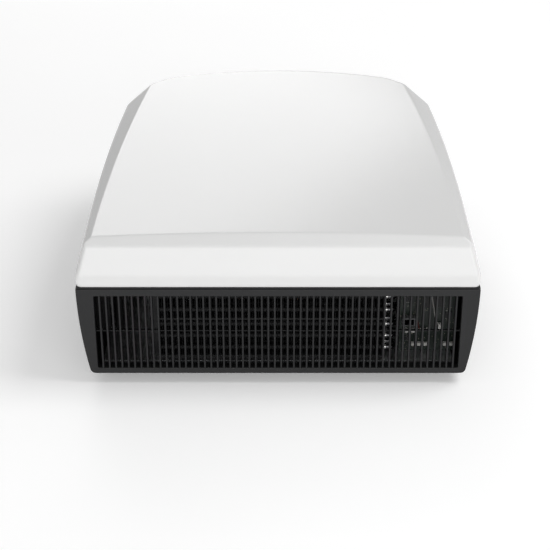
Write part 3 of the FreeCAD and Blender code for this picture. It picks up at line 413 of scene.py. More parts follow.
def loft(loops):
    """Vertices in metres, and faces that join each loop to the next and the last to the first."""
    count, size = loops.shape[:2]
    faces = [(i * size + j, i * size + (j + 1) % size, (i + 1) % count * size + (j + 1) % size,
              (i + 1) % count * size + j) for i in range(count) for j in range(size)]
    return (loops.reshape(-1, 3) / 1000).tolist(), faces


corner = [math.atan2(z - OPEN_MID, x) for x, z in
          ((OPEN_X, OPEN_HIGH), (OPEN_X, OPEN_LOW), (REAR_HALF, SEAM - GROOVE), (REAR_HALF - 11.0, BOTTOM))]
angles = sorted(set(np.linspace(0, 2 * math.pi, 181)[:-1].tolist()
                    + [(c + d) % (2 * math.pi) for c in corner + [math.pi - c for c in corner]
                       for d in np.linspace(-0.02, 0.02, 17)]))
cos, sin = np.cos(angles), np.sin(angles)
loops = []
for distance, grown, y in ((opening_distance, 0.0, 8.0), (opening_distance, 0.0, 0.5),
                           (opening_distance, 0.15, 0.15), (opening_distance, 0.5, 0.0),
                           (frame_distance, -0.9, 0.0), (frame_distance, -0.26, 0.26),
                           (frame_distance, 0.0, 0.9), (frame_distance, 0.0, 3.5),
                           (opening_distance, 2.5, 3.5), (opening_distance, 2.5, 8.0)):
    r = march(len(cos), 20.0, 400.0, lambda q: distance(q * cos, OPEN_MID + q * sin) > grown)
    loops.append(np.stack([r * cos, np.full(len(cos), REAR + y), OPEN_MID + r * sin], 1))
verts, faces = loft(np.array(loops))


def add_to_mesh(more_verts, more_faces):
    faces.extend(tuple(len(verts) + k for k in face) for face in more_faces)
    verts.extend(more_verts)


add_to_mesh([(x * (REAR_HALF - 1.5) / 1000, (REAR + y) / 1000, z / 1000)
             for x in (-1, 1) for y in (1.5, 3.5) for z in (SEAM - GROOVE - 1, SEAM)],
            ((0, 1, 3, 2), (4, 6, 7, 5), (0, 4, 5, 1), (2, 3, 7, 6), (1, 5, 7, 3), (0, 2, 6, 4)))


def grow(piece, kinds, build, material, **values):
    """Adds a Geometry Nodes modifier; build gets a dict of the tree's named inputs."""
    tree = bpy.data.node_groups.new(piece.name, "GeometryNodeTree")
    tree.interface.new_socket("Geometry", in_out="OUTPUT", socket_type="NodeSocketGeometry")
    kinds = {"Geometry": "Geometry", **kinds, "Material": "Material"}
    codes = {}
    for label, kind in kinds.items():
        entry = tree.interface.new_socket(label, in_out="INPUT", socket_type="NodeSocket" + kind)
        codes[label] = entry.identifier
    start, end = tree.nodes.new("NodeGroupInput"), tree.nodes.new("NodeGroupOutput")
    given = {label: Socket(tree, start.outputs[label]) for label in kinds}
    shape = build(given)
    shape = shape.node("GeometryNodeRealizeInstances", None, {0: shape})
    shape = shape.node("GeometryNodeSetMaterial", None, {"Geometry": shape, "Material": given["Material"]})
    tree.links.new(shape.socket, end.inputs[0])
    modifier = piece.modifiers.new(piece.name, "NODES")
    modifier.node_group = tree
    for label, value in {**values, "Material": material}.items():
        modifier[codes[label]] = value
    return piece


def slats(given):
    blank = given["Geometry"]
    profile = blank.node("GeometryNodeCurvePrimitiveQuadrilateral", None,
                         {"Width": given["Slat width"], "Height": given["Depth"]})
    profile = blank.node("GeometryNodeFilletCurve", {"mode": "POLY"},
                         {"Curve": profile, "Count": 4, "Radius": given["Edge radius"]})
    half = given["Height"] * 0.5
    ends = [blank.node("ShaderNodeCombineXYZ", None, {"Z": z}) for z in (-half, half)]
    path = blank.node("GeometryNodeCurvePrimitiveLine", None, {"Start": ends[0], "End": ends[1]})
    slat = blank.node("GeometryNodeCurveToMesh", None, {0: path, 1: profile, "Fill Caps": True})
    row = blank.node("GeometryNodeMeshLine", None, {
        "Count": given["Count"],
        "Start Location": blank.node("ShaderNodeCombineXYZ", None, {
            "X": given["First"], "Y": given["Middle"], "Z": given["Centre height"]}),
        "Offset": blank.node("ShaderNodeCombineXYZ", None, {"X": given["Pitch"]})})
    row = blank.node("GeometryNodeInstanceOnPoints", None, {"Points": row, "Instance": slat})
    reach = blank.node("ShaderNodeCombineXYZ", None, {"X": given["Rib reach"]})
    back = blank.node("ShaderNodeCombineXYZ", None, {"X": -given["Rib reach"]})
    rib = blank.node("GeometryNodeCurvePrimitiveLine", None, {"Start": back, "End": reach})
    bar = blank.node("GeometryNodeCurvePrimitiveQuadrilateral", None,
                     {"Width": given["Rib depth"], "Height": given["Rib height"]})
    bar = blank.node("GeometryNodeFilletCurve", {"mode": "POLY"},
                     {"Curve": bar, "Count": 3, "Radius": given["Rib edge radius"]})
    rib = blank.node("GeometryNodeCurveToMesh", None, {0: rib, 1: bar, "Fill Caps": True})
    rib = blank.node("GeometryNodeTransform", None, {
        "Geometry": rib, "Translation": blank.node("ShaderNodeCombineXYZ", None, {
            "Y": given["Rib middle"], "Z": given["Centre height"]})})
    joined = blank.node("GeometryNodeJoinGeometry", None, {0: row})
    for more in (rib, blank):
        joined.tree.links.new(more.socket, joined.socket.node.inputs[0])
    return joined


grille_abs = charcoal_finish("grille_abs", 0.011, 0.42)
grille = solid("rear_grille_moulding", verts, faces, grille_abs, False)
grow(grille, {"Count": "Int", "Pitch": "Float", "First": "Float", "Slat width": "Float", "Depth": "Float",
              "Height": "Float", "Middle": "Float", "Centre height": "Float", "Edge radius": "Float",
              "Rib reach": "Float", "Rib depth": "Float", "Rib height": "Float", "Rib middle": "Float",
              "Rib edge radius": "Float"},
     slats, grille_abs,
     **{"Count": SLOTS - 1, "Pitch": PITCH / 1000, "First": -(SLOTS - 2) / 2 * PITCH / 1000,
        "Slat width": (PITCH - SLOT_W) / 1000, "Depth": 0.0079, "Height": (OPEN_HIGH - OPEN_LOW + 0.8) / 1000,
        "Middle": (REAR + 4.0) / 1000, "Centre height": OPEN_MID / 1000, "Edge radius": 0.0005,
        "Rib reach": (OPEN_X + 0.4) / 1000, "Rib depth": 0.0038, "Rib height": 0.001,
        "Rib middle": (REAR + 6.0) / 1000, "Rib edge radius": 0.0003})
settle(grille, "case", "grille_plastic", "rear_grille")

# ---------------------------------------------------------------- radiator fins
# Two tiers of thin black anodised aluminium fins with a light corrugation,
# each pressed on six tubes through a small drawn collar.
TUBE_Y, TUBE_Z = (-224.0, -211.0), (28.07, 44.0, 59.93, 79.07, 96.4, 113.73)
FIN_FIRST, FINS, FIN_PITCH, FIN_HALF = -138.1, 81, 3.2, 0.14
FIN_BACK, FIN_FRONT, BENDS, WAVE = -230.0, -205.0, 13, 0.22
TIERS = ((20.1, 67.9), (70.4, 122.4))
COLLAR = ((3.0, -0.39), (3.5, -0.39), (3.3, 0.6), (3.0, 0.6))


def folded_strip(xs, ys, half, low, high):
    """An upright folded sheet through the points (xs, ys), 2 * half thick, from low to high, in mm."""
    ring = [(x + half, y) for x, y in zip(xs, ys)] + [(x - half, y) for x, y in zip(xs[::-1], ys[::-1])]
    n = len(ring)
    faces = [(k, (k + 1) % n, n + (k + 1) % n, n + k) for k in range(n)]
    for k in range(n // 2 - 1):
        faces += [(k, n - 1 - k, n - 2 - k, k + 1), (n + k, n + k + 1, 2 * n - 2 - k, 2 * n - 1 - k)]
    return [(x / 1000, y / 1000, z / 1000) for z in (low, high) for x, y in ring], faces


verts, faces = [], []
for low, high in TIERS:
    add_to_mesh(*folded_strip(WAVE * np.cos(np.arange(BENDS) * math.pi),
                              np.linspace(FIN_BACK, FIN_FRONT, BENDS), FIN_HALF, low, high))
turn = np.arange(14) * math.pi / 7
for z in TUBE_Z:
    for y in TUBE_Y:
        add_to_mesh(*loft(np.array([np.stack([np.full(14, x), y + radius * np.cos(turn),
                                              z + radius * np.sin(turn)], 1) for radius, x in COLLAR])))


def face_outward(piece):
    form = bmesh.new()
    form.from_mesh(piece.data)
    bmesh.ops.recalc_face_normals(form, faces=form.faces[:])
    form.to_mesh(piece.data)
    form.free()
    return piece


def along_x(given):
    blank = given["Geometry"]
    row = blank.node("GeometryNodeMeshLine", None, {
        "Count": given["Count"],
        "Start Location": blank.node("ShaderNodeCombineXYZ", None, {"X": given["First"]}),
        "Offset": blank.node("ShaderNodeCombineXYZ", None, {"X": given["Pitch"]})})
    return blank.node("GeometryNodeInstanceOnPoints", None, {"Points": row, "Instance": blank})


anodised = finish_of(
    "black_anodised",
    mottled((0.010, 0.010, 0.011), (0.022, 0.022, 0.024), 60.0, 3.0),
    uneven(0.2, 0.42, 300.0, 3.0),
    bump=grain(900.0, 2.0, (1.0, 1.0, 0.1)), bump_height=0.00003, Specular_IOR_Level=0.3)
fins = face_outward(solid("radiator_fin_stack", verts, faces, anodised, False))
grow(fins, {"Count": "Int", "First": "Float", "Pitch": "Float"}, along_x, anodised,
     Count=FINS, First=FIN_FIRST / 1000, Pitch=FIN_PITCH / 1000)
settle(fins, "case", "fin_metal", "radiator_fins")

# ---------------------------------------------------------------- tubes and radiator frame
# Six U tubes carry the coolant through the fins. Inside the fin stack the tubes carry painted shade, near
# black;
# past the header each bend is dark nickel with a bright ferrule at its root.
# The frame, header and fan shroud are folded and black painted.
HEADER_X, FERRULE = 123.5, 3.6


def tube_colour(s):
    x = s.place()[0]
    worn = s.noise(45.0, 3.0).between((0.10, 0.10, 0.105), (0.17, 0.17, 0.175))
    ferrule = (x - HEADER_X).step(0.3) * (HEADER_X + FERRULE - x).step(0.3)
    # painted shade: near black inside the fin stack, where the fins shade the tubes; the bends' own tone past
    # the header
    shaded_stack_then_bend = (x - HEADER_X).step(0.6).between((0.014, 0.014, 0.015), worn)
    return ferrule.between(shaded_stack_then_bend, (0.78, 0.77, 0.75))


def tube_metal(s):
    return (s.place()[0] - HEADER_X).step(0.6)


dress(finish_of(
    "plated_tube_painted_shade", tube_colour, lambda s: 0.62 - tube_metal(s) * 0.45 + s.noise(240.0, 4.0) * 0.1,
    metallic=tube_metal, bump=grain(700.0, 2.0, (0.05, 1.0, 1.0)), bump_height=0.00003),
    "radiator_tubes")
black_paint = finish_of(
    "black_paint",
    mottled((0.012, 0.012, 0.013), (0.02, 0.02, 0.021), 40.0, 3.0),
    uneven(0.2, 0.4, 500.0, 3.0),
    bump=grain(1500.0, 2.0), bump_height=0.00004, edge=0.0003, Specular_IOR_Level=0.35)
dress(black_paint, "radiator_frame", "display_panels")

# ---------------------------------------------------------------- driver board
# A glass-fibre board in dark green solder mask at the right end of the vent,
# with a potted converter, white nylon headers, a driver chip and soldered pins.


def board_finish(name, mask, track):
    def colour(s):
        x, y, _ = s.place()
        cells = s.noise(90.0, 1.0, (1.0, 1.0, 0.25))
        lines = s.maths("SINE", (x + y) * 5.2)
        tracks = (lines - 0.35).step(0.3) * (cells - 0.5).step(0.02)
        spot = s.node("ShaderNodeTexCoord", out=3)
        dots = s.node("ShaderNodeTexVoronoi", None, {"Vector": spot, "Scale": 260.0, "Randomness": 0.8})
        vias = (0.17 - dots).step(0.04)
        return vias.between(tracks.between(mask, track), (0.22, 0.2, 0.16))
    return finish_of(name, colour, uneven(0.12, 0.3, 350.0, 2.0),
                     bump=grain(90.0, 1.0, (1.0, 1.0, 0.25)), bump_height=0.00008, edge=0.0002)


def bars(name, boxes, material, ease=0.25):
    """One piece of bars (x0, x1, y0, y1, z0, z1, in mm) with rounded edges."""
    form = bmesh.new()
    for x0, x1, y0, y1, z0, z1 in boxes:
        spot = Matrix.Translation(((x0 + x1) / 2000, (y0 + y1) / 2000, (z0 + z1) / 2000))
        spot = spot @ Matrix.Diagonal(((x1 - x0) / 1000, (y1 - y0) / 1000, (z1 - z0) / 1000, 1.0))
        bmesh.ops.create_cube(form, size=1.0, matrix=spot)
    bmesh.ops.bevel(form, geom=form.edges[:], offset=ease / 1000, segments=2, profile=0.5, affect="EDGES")
    mesh = bpy.data.meshes.new(name)
    form.to_mesh(mesh)
    form.free()
    mesh.materials.append(material)
    piece = bpy.data.objects.new(name, mesh)
    bpy.context.collection.objects.link(piece)
    return piece


def place_pins(name, spots, radius, length, turn, material):
    """Round pins at spots (mm), all turned the same way."""
    def build(given):
        blank = given["Geometry"]
        pin = blank.node("GeometryNodeMeshCylinder", None, {
            "Vertices": 10, "Radius": given["Radius"], "Depth": given["Length"]})
        tip = blank.node("GeometryNodeMeshCone", None, {
            "Vertices": 10, "Radius Top": given["Radius"] * 0.45, "Radius Bottom": given["Radius"],
            "Depth": given["Radius"]})
        end = blank.node("ShaderNodeCombineXYZ", None, {"Z": given["Length"] * 0.5})
        tip = blank.node("GeometryNodeTransform", None, {"Geometry": tip, "Translation": end})
        pin = blank.node("GeometryNodeJoinGeometry", None, {0: pin})
        pin.tree.links.new(tip.socket, pin.socket.node.inputs[0])
        return blank.node("GeometryNodeInstanceOnPoints", None, {
            "Points": blank, "Instance": pin, "Rotation": given["Turn"]})
    piece = solid(name, [(x / 1000, y / 1000, z / 1000) for x, y, z in spots], [], material)
    return grow(piece, {"Radius": "Float", "Length": "Float", "Turn": "Rotation"}, build, material,
                Radius=radius / 1000, Length=length / 1000, Turn=turn)


# left edge, lower edge, width, height and stand-off of each header, in mm
HEADERS = ((149.8, 44.8, 3.5, 4.0, 5.0), (157.0, 44.8, 4.7, 4.0, 5.0), (164.7, 46.4, 4.1, 2.4, 4.0),
           (172.3, 46.4, 4.7, 2.4, 4.0), (188.4, 50.3, 3.8, 5.5, 6.0), (157.7, 26.7, 3.1, 3.0, 5.0),
           (164.7, 26.7, 4.2, 3.0, 5.0), (172.3, 26.7, 4.5, 3.0, 5.0), (195.1, 26.7, 4.2, 3.0, 5.0),
           (202.8, 26.7, 4.2, 3.0, 5.0))
BOARD_Y = -215.0
board = bars("driver_board_plate", [(143.0, 210.0, BOARD_Y, BOARD_Y + 1.6, 18.1, 113.4)],
             board_finish("driver_mask", (0.005, 0.012, 0.008), (0.010, 0.022, 0.014)), ease=0.15)
settle(board, "case", "board", "driver_board")
potting = finish_of("grey_case", mottled((0.11, 0.11, 0.115), (0.16, 0.16, 0.165), 80.0, 3.0),
                    uneven(0.2, 0.35, 400.0, 2.0), bump=grain(1200.0, 2.0), bump_height=0.00003)
settle(bars("driver_converter", [(145.0, 161.0, BOARD_Y - 9.0, BOARD_Y, 55.4, 66.4),
                                 (146.2, 159.8, BOARD_Y - 9.0, BOARD_Y, 56.6, 65.2)], potting, 0.5),
       "case", "board")
chips = [(x0, x1, BOARD_Y - thick, BOARD_Y - 0.2, z0, z1) for x0, x1, thick, z0, z1 in
         ((170.0, 192.0, 2.6, 77.4, 97.4), (148.0, 158.0, 1.8, 84.0, 91.0),
          (196.0, 204.0, 1.8, 62.0, 71.0), (150.0, 156.0, 1.6, 32.0, 38.0))]
epoxy = finish_of("chip_epoxy", mottled((0.012, 0.012, 0.013), (0.02, 0.02, 0.021), 120.0, 2.0),
                  uneven(0.15, 0.45, 600.0, 2.0), bump=grain(2500.0, 2.0), bump_height=0.00002)
settle(bars("driver_chips", chips, epoxy, 0.2), "case", "board")
tin = finish_of("bright_tin", mottled((0.6, 0.59, 0.56), (0.74, 0.73, 0.7), 300.0, 2.0),
                uneven(0.2, 0.22, 900.0, 2.0), metallic=1.0, bump=grain(1500.0), bump_height=0.00001)
legs = [(x, x + 0.5, BOARD_Y - 0.5, BOARD_Y, z0 - 1.2, z1 + 1.2) for x0, x1, y0, y1, z0, z1 in chips
        for x in np.arange(x0 + 0.8, x1 - 0.9, 1.27)]
settle(bars("driver_chip_legs", legs, tin, 0.08), "case", "board")
nylon = finish_of("white_nylon", mottled((0.74, 0.73, 0.70), (0.82, 0.81, 0.78), 200.0, 2.0),
                  uneven(0.2, 0.4, 500.0, 2.0), bump=grain(1800.0), bump_height=0.00002)
housings = []
for x, z, width, height, stand in HEADERS:
    y0, y1 = BOARD_Y - stand, BOARD_Y
    housings += [(x, x + width, y0, y1, z, z + height),
                 (x + 0.5, x + width - 0.5, y0 + 0.6, y1 - 0.6, z - 0.5, z + height + 0.3)]
settle(bars("driver_headers", housings, nylon, 0.25), "case", "board")
pins = [(x + 1.1 + k * (width - 2.2) / 2, BOARD_Y - stand + 1.4, z + height / 2)
        for x, z, width, height, stand in HEADERS for k in range(3)]
settle(place_pins("driver_pins", pins, 0.28, 3.4, (math.pi / 2, 0.0, 0.0), tin), "case", "board")

# ---------------------------------------------------------------- driver leads
# Silicone-covered leads that drop from the top of the board to its headers;
# they are clipped at both ends, so they only follow the case.


def sleeve(rings, sides):
    """Faces along a tube of rings with so many sides, closed at both ends."""
    return [(i * sides + j, i * sides + (j + 1) % sides, (i + 1) * sides + (j + 1) % sides,
             (i + 1) * sides + j) for i in range(rings - 1) for j in range(sides)] + [
        tuple(range(sides)), tuple(range((rings - 1) * sides, rings * sides))]


def sweep(path, radius, sides=10):
    """Vertices and faces of a round lead through the path's points, in mm."""
    points = np.array(path, float)
    t = np.linspace(0, len(points) - 1, 8 * (len(points) - 1) + 1)
    lower = np.clip(t.astype(int), 0, len(points) - 2)
    u = (t - lower)[:, None]
    wide = np.vstack([2 * points[0] - points[1], points, 2 * points[-1] - points[-2]])
    a, b, c, d = (wide[lower + k] for k in range(4))
    line = 0.5 * (2 * b + (c - a) * u + (2 * a - 5 * b + 4 * c - d) * u ** 2
                  + (3 * b - a - 3 * c + d) * u ** 3)
    ahead = np.gradient(line, axis=0)
    ahead /= np.linalg.norm(ahead, axis=1)[:, None]
    across = np.cross(ahead, (1.0, 0.0, 0.0))
    across /= np.linalg.norm(across, axis=1)[:, None]
    upright = np.cross(across, ahead)
    turn = np.arange(sides) * 2 * math.pi / sides
    ring = across[:, None] * np.cos(turn)[:, None] + upright[:, None] * np.sin(turn)[:, None]
    verts = (line[:, None] + radius * ring).reshape(-1, 3) / 1000
    return verts.tolist(), sleeve(len(line), sides)


for name, shade, radius, path in (
        ("lead_white", (0.5, 0.49, 0.47), 0.5, (
            (176.0, -216.5, 110.0), (178.5, -221.0, 96.0), (181.5, -223.3, 80.0),
            (184.0, -223.3, 66.0), (189.5, -220.5, 54.0))),
        ("lead_red", (0.16, 0.012, 0.01), 0.45, (
            (160.0, -216.5, 108.0), (163.0, -220.5, 94.0), (161.5, -222.0, 76.0),
            (164.0, -222.0, 60.0), (166.5, -218.6, 48.0))),
        ("lead_black", (0.015, 0.015, 0.016), 0.45, (
            (164.0, -216.5, 108.0), (167.5, -220.5, 92.0), (166.0, -222.5, 74.0),
            (169.0, -222.0, 58.0), (174.5, -218.6, 47.8)))):
    sheath = finish_of(name + "_sheath", mottled([0.8 * c for c in shade], shade, 70.0),
                       uneven(0.2, 0.4, 500.0), bump=grain(900.0), bump_height=0.00002)
    verts, faces = sweep(path, radius)
    settle(face_outward(solid(name, verts, faces, sheath)), "case", "board")

# ---------------------------------------------------------------- fans
# Two axial fans of black glass-filled nylon draw air out through the fins;
# the rotors turn on steel pins and the frames are screwed to the shroud.
dress(finish_of(
    "fan_nylon",
    mottled((0.012, 0.012, 0.013), (0.022, 0.022, 0.023), 50.0, 3.0),
    uneven(0.2, 0.36, 350.0, 3.0, (1.0, 0.2, 1.0)),
    bump=grain(1100.0, 2.0), bump_height=0.00003, edge=0.0003, Specular_IOR_Level=0.35),
    "fan_frames", "fan_left_rotor", "fan_right_rotor")

# ---------------------------------------------------------------- laser and light engine
# The laser block, engine tray, lens mount and carriages are die-cast; sawn
# and milled faces show fine lines. The cold plate and its pipes are copper.
dress(finish_of(
    "die_cast",
    mottled((0.30, 0.30, 0.31), (0.46, 0.46, 0.47), 35.0, 4.0),
    uneven(0.25, 0.36, 260.0, 4.0), metallic=1.0,
    bump=grain(650.0, 4.0), bump_height=0.00008, edge=0.0006),
    "laser_module", "light_engine", "lens_mount", "vertical_carriage", "horizontal_carriage")
dress(finish_of(
    "milled_copper",
    mottled((0.52, 0.25, 0.15), (0.74, 0.40, 0.27), 28.0, 3.0),
    uneven(0.25, 0.2, 420.0, 3.0, (0.05, 1.0, 1.0)), metallic=1.0,
    bump=grain(900.0, 2.0, (0.04, 1.0, 1.0)), bump_height=0.00003, edge=0.0003),
    "cold_plate", "coolant_pipes")
dress(finish_of(
    "ground_steel",
    mottled((0.44, 0.44, 0.45), (0.6, 0.6, 0.61), 90.0, 3.0),
    uneven(0.16, 0.2, 800.0, 2.0, (1.0, 1.0, 0.08)), metallic=1.0,
    bump=grain(1400.0, 2.0), bump_height=0.00001, edge=0.0002),
    "guide_rods_vertical", "guide_rods_horizontal", "case_screws")
WHEEL_X, WHEEL_Z, BAND_INNER, BAND_OUTER = -55.0, 68.1, 19.0, 28.5


def from_axis(s, axis_x, axis_z):
    """Distance from an axis that runs along the lens, in mm."""
    x, _, z = s.place()
    x, z = x - axis_x, z - axis_z
    return s.maths("SQRT", x * x + z * z)


def phosphor_band(s):
    reach = from_axis(s, WHEEL_X, WHEEL_Z)
    return (reach - BAND_INNER).step(0.3) * (BAND_OUTER - reach).step(0.3)


def wheel_colour(s):
    phosphor = s.noise(400.0).between((0.72, 0.55, 0.06), (0.82, 0.68, 0.12))
    return phosphor_band(s).between((0.62, 0.62, 0.63), phosphor)


dress(finish_of("phosphor_coated", wheel_colour, uneven(0.2, 0.3, 500.0),
                metallic=lambda s: 1.0 - phosphor_band(s), bump=grain(1500.0), bump_height=0.00002),
      "phosphor_wheel")
dress(finish_of("prism_glass", mottled((0.10, 0.16, 0.18), (0.16, 0.24, 0.27), 20.0),
                uneven(0.02, 0.03, 60.0), coat=1.0, bump=grain(12.0),
                bump_height=0.00001, Transmission_Weight=0.6, IOR=1.52), "prism_block", "rear_lens")

# ---------------------------------------------------------------- lens
# The barrel and front cell are black anodised, the two geared rings and
# their pinions are moulded, and the front glass is one dome with a violet
# coating, held by the lip of its cell.
dress(finish_of(
    "lens_black",
    mottled((0.010, 0.010, 0.011), (0.018, 0.018, 0.019), 70.0, 3.0),
    uneven(0.18, 0.34, 700.0, 2.0, (1.0, 0.1, 1.0)),
    bump=lambda s: s.maths("SINE", s.place()[1] * 9.0), bump_height=0.00003, edge=0.0004),
    "lens_barrel", "front_lens_cell")
dress(finish_of(
    "ring_nylon",
    mottled((0.028, 0.028, 0.030), (0.042, 0.042, 0.044), 60.0, 3.0),
    uneven(0.2, 0.38, 500.0, 2.0),
    bump=grain(1300.0, 2.0), bump_height=0.00003, edge=0.0002),
    "focus_ring", "focus_pinion", "zoom_ring", "zoom_pinion", "dust_shield", "lens_motors")


def coated(s):
    reach = from_axis(s, LENS_X, LENS_Z)
    return ((reach - 18.0) / 22.0).step(1.6).between((0.030, 0.012, 0.060), (0.006, 0.010, 0.030))


coated_glass = finish_of("coated_glass", coated, uneven(0.015, 0.02, 30.0), coat=1.0, bump=grain(10.0),
                         bump_height=0.00001, IOR=1.75)
low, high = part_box("front_lens")
rim, dome_rise, sides = (high.x - low.x) / 2, 0.0045, 96
profile = [(rim, low.y)] + [(rim * r, high.y - dome_rise * r * r) for r in np.linspace(1.0, 0.04, 20)]
turn = np.arange(sides) * 2 * math.pi / sides
verts = [((low.x + high.x) / 2 + r * math.cos(a), y, (low.z + high.z) / 2 + r * math.sin(a))
         for r, y in profile for a in turn]
front_glass = face_outward(solid("front_glass", verts, sleeve(len(profile), sides), coated_glass))
for index in (*range(sides), len(front_glass.data.polygons) - 2):
    front_glass.data.polygons[index].use_smooth = False
settle(front_glass, "front_cell", "lens_glass", "front_lens")

# ---------------------------------------------------------------- lens surround
# A fixed funnel of matt black ABS in the front opening, turned with fine
# anti-reflection steps; the remote's window beside it is dark red acrylic.


def steps(s):
    return s.maths("PINGPONG", s.place()[1], 1.1)


dress(finish_of(
    "surround_abs",
    mottled((0.010, 0.010, 0.011), (0.017, 0.017, 0.018), 40.0, 3.0),
    uneven(0.16, 0.48, 260.0, 3.0), bump=steps, bump_height=0.0004, edge=0.0005,
    Specular_IOR_Level=0.4), "lens_surround")
dress(finish_of("ir_acrylic", mottled((0.030, 0.003, 0.005), (0.045, 0.005, 0.008), 50.0),
                uneven(0.03, 0.05, 80.0), coat=0.8, bump=grain(30.0), bump_height=0.00001), "ir_window")

# ---------------------------------------------------------------- control tray and keys
# Nine satin keys stand in a recessed tray on the left side, over a small
# switch board; each carries one printed sign and no words.
tray_abs = finish_of(
    "tray_abs",
    mottled((0.011, 0.011, 0.012), (0.018, 0.018, 0.019), 40.0, 3.0),
    uneven(0.16, 0.46, 300.0, 4.0),
    bump=grain(2000.0, 3.0), bump_height=0.00004, edge=0.0004, Specular_IOR_Level=0.4)
dress(tray_abs, "control_panel")
dress(board_finish("keypad_mask", (0.016, 0.06, 0.03), (0.03, 0.10, 0.05)), "keypad_board", "main_board")


def arrow(dx, dz):
    def sign(u, v):
        ahead, aside = u * dx + v * dz, u * dz - v * dx
        return (ahead + 1.2).step(0.12) * (1.5 - ahead - abs(aside) * 1.15).step(0.12)
    return sign


def ring_sign(u, v):
    return (0.24 - abs(u.maths("SQRT", u * u + v * v) - 1.7)).step(0.12)


def power_sign(u, v):
    gap = (0.75 - abs(u)).step(0.1) * v.step(0.1)
    bar = (0.22 - abs(u)).step(0.12) * (1.0 - abs(v - 1.5)).step(0.12)
    return u.maths("MAXIMUM", ring_sign(u, v) * (1.0 - gap), bar)


def menu_sign(u, v):
    lines = (0.19 - u.maths("PINGPONG", v + 5.5, 0.55)).step(0.1)
    return lines * (1.8 - abs(u)).step(0.12) * (1.4 - abs(v)).step(0.12)


def source_sign(u, v):
    frame_line = (0.22 - abs(u.maths("MAXIMUM", abs(u), abs(v) * 1.3) - 1.9)).step(0.12)
    return u.maths("MAXIMUM", frame_line, (0.22 - abs(v)).step(0.12) * (0.9 - abs(u)).step(0.12))


def back_sign(u, v):
    shaft = (0.24 - abs(v)).step(0.12) * (1.0 - abs(u - 0.9)).step(0.12)
    head = (u + 1.9).step(0.12) * (-u - abs(v) * 1.1).step(0.12) * (1.2 - abs(v)).step(0.1)
    return u.maths("MAXIMUM", shaft, head)


KEY_FACE_X = -209.6
for name, sign in (("up_key", arrow(0, 1)), ("down_key", arrow(0, -1)), ("left_key", arrow(-1, 0)),
                   ("right_key", arrow(1, 0)), ("enter_key", ring_sign), ("power_key", power_sign),
                   ("menu_key", menu_sign), ("source_key", source_sign), ("back_key", back_sign)):
    low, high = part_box(name)
    mid_y, mid_z = (low.y + high.y) * 500, (low.z + high.z) * 500

    def printed(s):
        x, y, z = s.place()
        ink = sign(mid_y - y, z - mid_z) * (KEY_FACE_X - x).step(0.1)
        key = s.noise(60.0).between((0.035, 0.035, 0.037), (0.045, 0.045, 0.047))
        return ink.between(key, (0.62, 0.62, 0.6))

    dress(finish_of(name + "_satin", printed, uneven(0.12, 0.3, 400.0, 2.0),
                    bump=grain(1500.0), bump_height=0.00002, edge=0.0002), name)

# ---------------------------------------------------------------- socket tray
# A recessed tray on the right side with printed outlines round the sockets,
# tinned shells, contacts on tongues of black nylon, and a mains inlet.
IO_X, IO_REAR, IO_MID, TRAY_HALF_HEIGHT = 208.0, -150.0, 75.4, 26.9
LINE, LINE_GAP, JACK_LINE = 0.22, 1.9, 5.8
# along the tray, above its middle, length and height of each socket, in mm
INLET_SPOT = (26, 0, 30.0, 24.0)
SOCKET_SPOTS = ((64, 12, 15.0, 6.0), (64, -12, 15.0, 6.0), (86, 12, 13.5, 6.5), (88, -12, 16.0, 13.0),
                (118, 0, 31.0, 12.5))
JACK_SPOTS = ((146, 10), (146, -10), (160, 10))


def outlined(s):
    _, y, z = s.place()
    ink = 0.0
    for dy, dz, length, height in (*SOCKET_SPOTS, INLET_SPOT):
        away = s.maths("MAXIMUM", abs(y - (IO_REAR + dy)) - length / 2, abs(z - (IO_MID + dz)) - height / 2)
        ink = (LINE - abs(away - LINE_GAP)).step(0.15) + ink
    for dy, dz in JACK_SPOTS:
        across, tall = y - (IO_REAR + dy), z - (IO_MID + dz)
        ink = (LINE - abs(s.maths("SQRT", across * across + tall * tall) - JACK_LINE)).step(0.15) + ink
    ink = s.maths("MINIMUM", ink, 1.0) * (TRAY_HALF_HEIGHT - abs(z - IO_MID)).step(0.1)
    tray = s.noise(40.0, 3.0).between((0.011, 0.011, 0.012), (0.018, 0.018, 0.019))
    return ink.between(tray, (0.5, 0.5, 0.49))


dress(finish_of("socket_tray_abs", outlined, uneven(0.16, 0.46, 300.0, 4.0),
                bump=grain(2000.0, 3.0), bump_height=0.00004, edge=0.0004,
                Specular_IOR_Level=0.4), "io_panel")
dress(tray_abs, "ac_inlet")
dress(finish_of("tinned_shell", mottled((0.46, 0.45, 0.43), (0.62, 0.61, 0.59), 120.0, 3.0),
                uneven(0.2, 0.26, 600.0, 3.0), metallic=1.0, bump=grain(1200.0),
                bump_height=0.00002, edge=0.0002), "sockets")
gold = finish_of("gold_flash", mottled((0.72, 0.5, 0.2), (0.85, 0.62, 0.28), 300.0, 2.0),
                 uneven(0.15, 0.2, 800.0), metallic=1.0, bump=grain(1500.0), bump_height=0.00001)
tongues, contacts = [], []
for dy, dz, length, height in SOCKET_SPOTS[:3]:
    y, z = IO_REAR + dy, IO_MID + dz
    tongues.append((IO_X - 4.9, IO_X + 1.5, y - length / 2 + 2.2, y + length / 2 - 2.2, z - 0.6, z + 0.6))
    contacts += [(IO_X - 4.5, IO_X + 1.3, k - 0.2, k + 0.2, z - 0.7, z + 0.7)
                 for k in np.arange(y - length / 2 + 3.2, y + length / 2 - 3.1, 1.0)]
lan_y, lan_z = IO_REAR + 88, IO_MID - 12
contacts += [(IO_X - 4.9, IO_X - 0.5, k - 0.22, k + 0.22, lan_z + 3.6, lan_z + 4.3)
             for k in np.arange(lan_y - 4.5, lan_y + 4.6, 1.28)]
serial_y, serial_z = IO_REAR + 118, IO_MID
tongues.append((IO_X - 4.9, IO_X - 3.4, serial_y - 14.0, serial_y + 14.0, serial_z - 4.8, serial_z + 4.8))
settle(bars("socket_tongues", tongues, epoxy, 0.15), "case", "socket_metal")
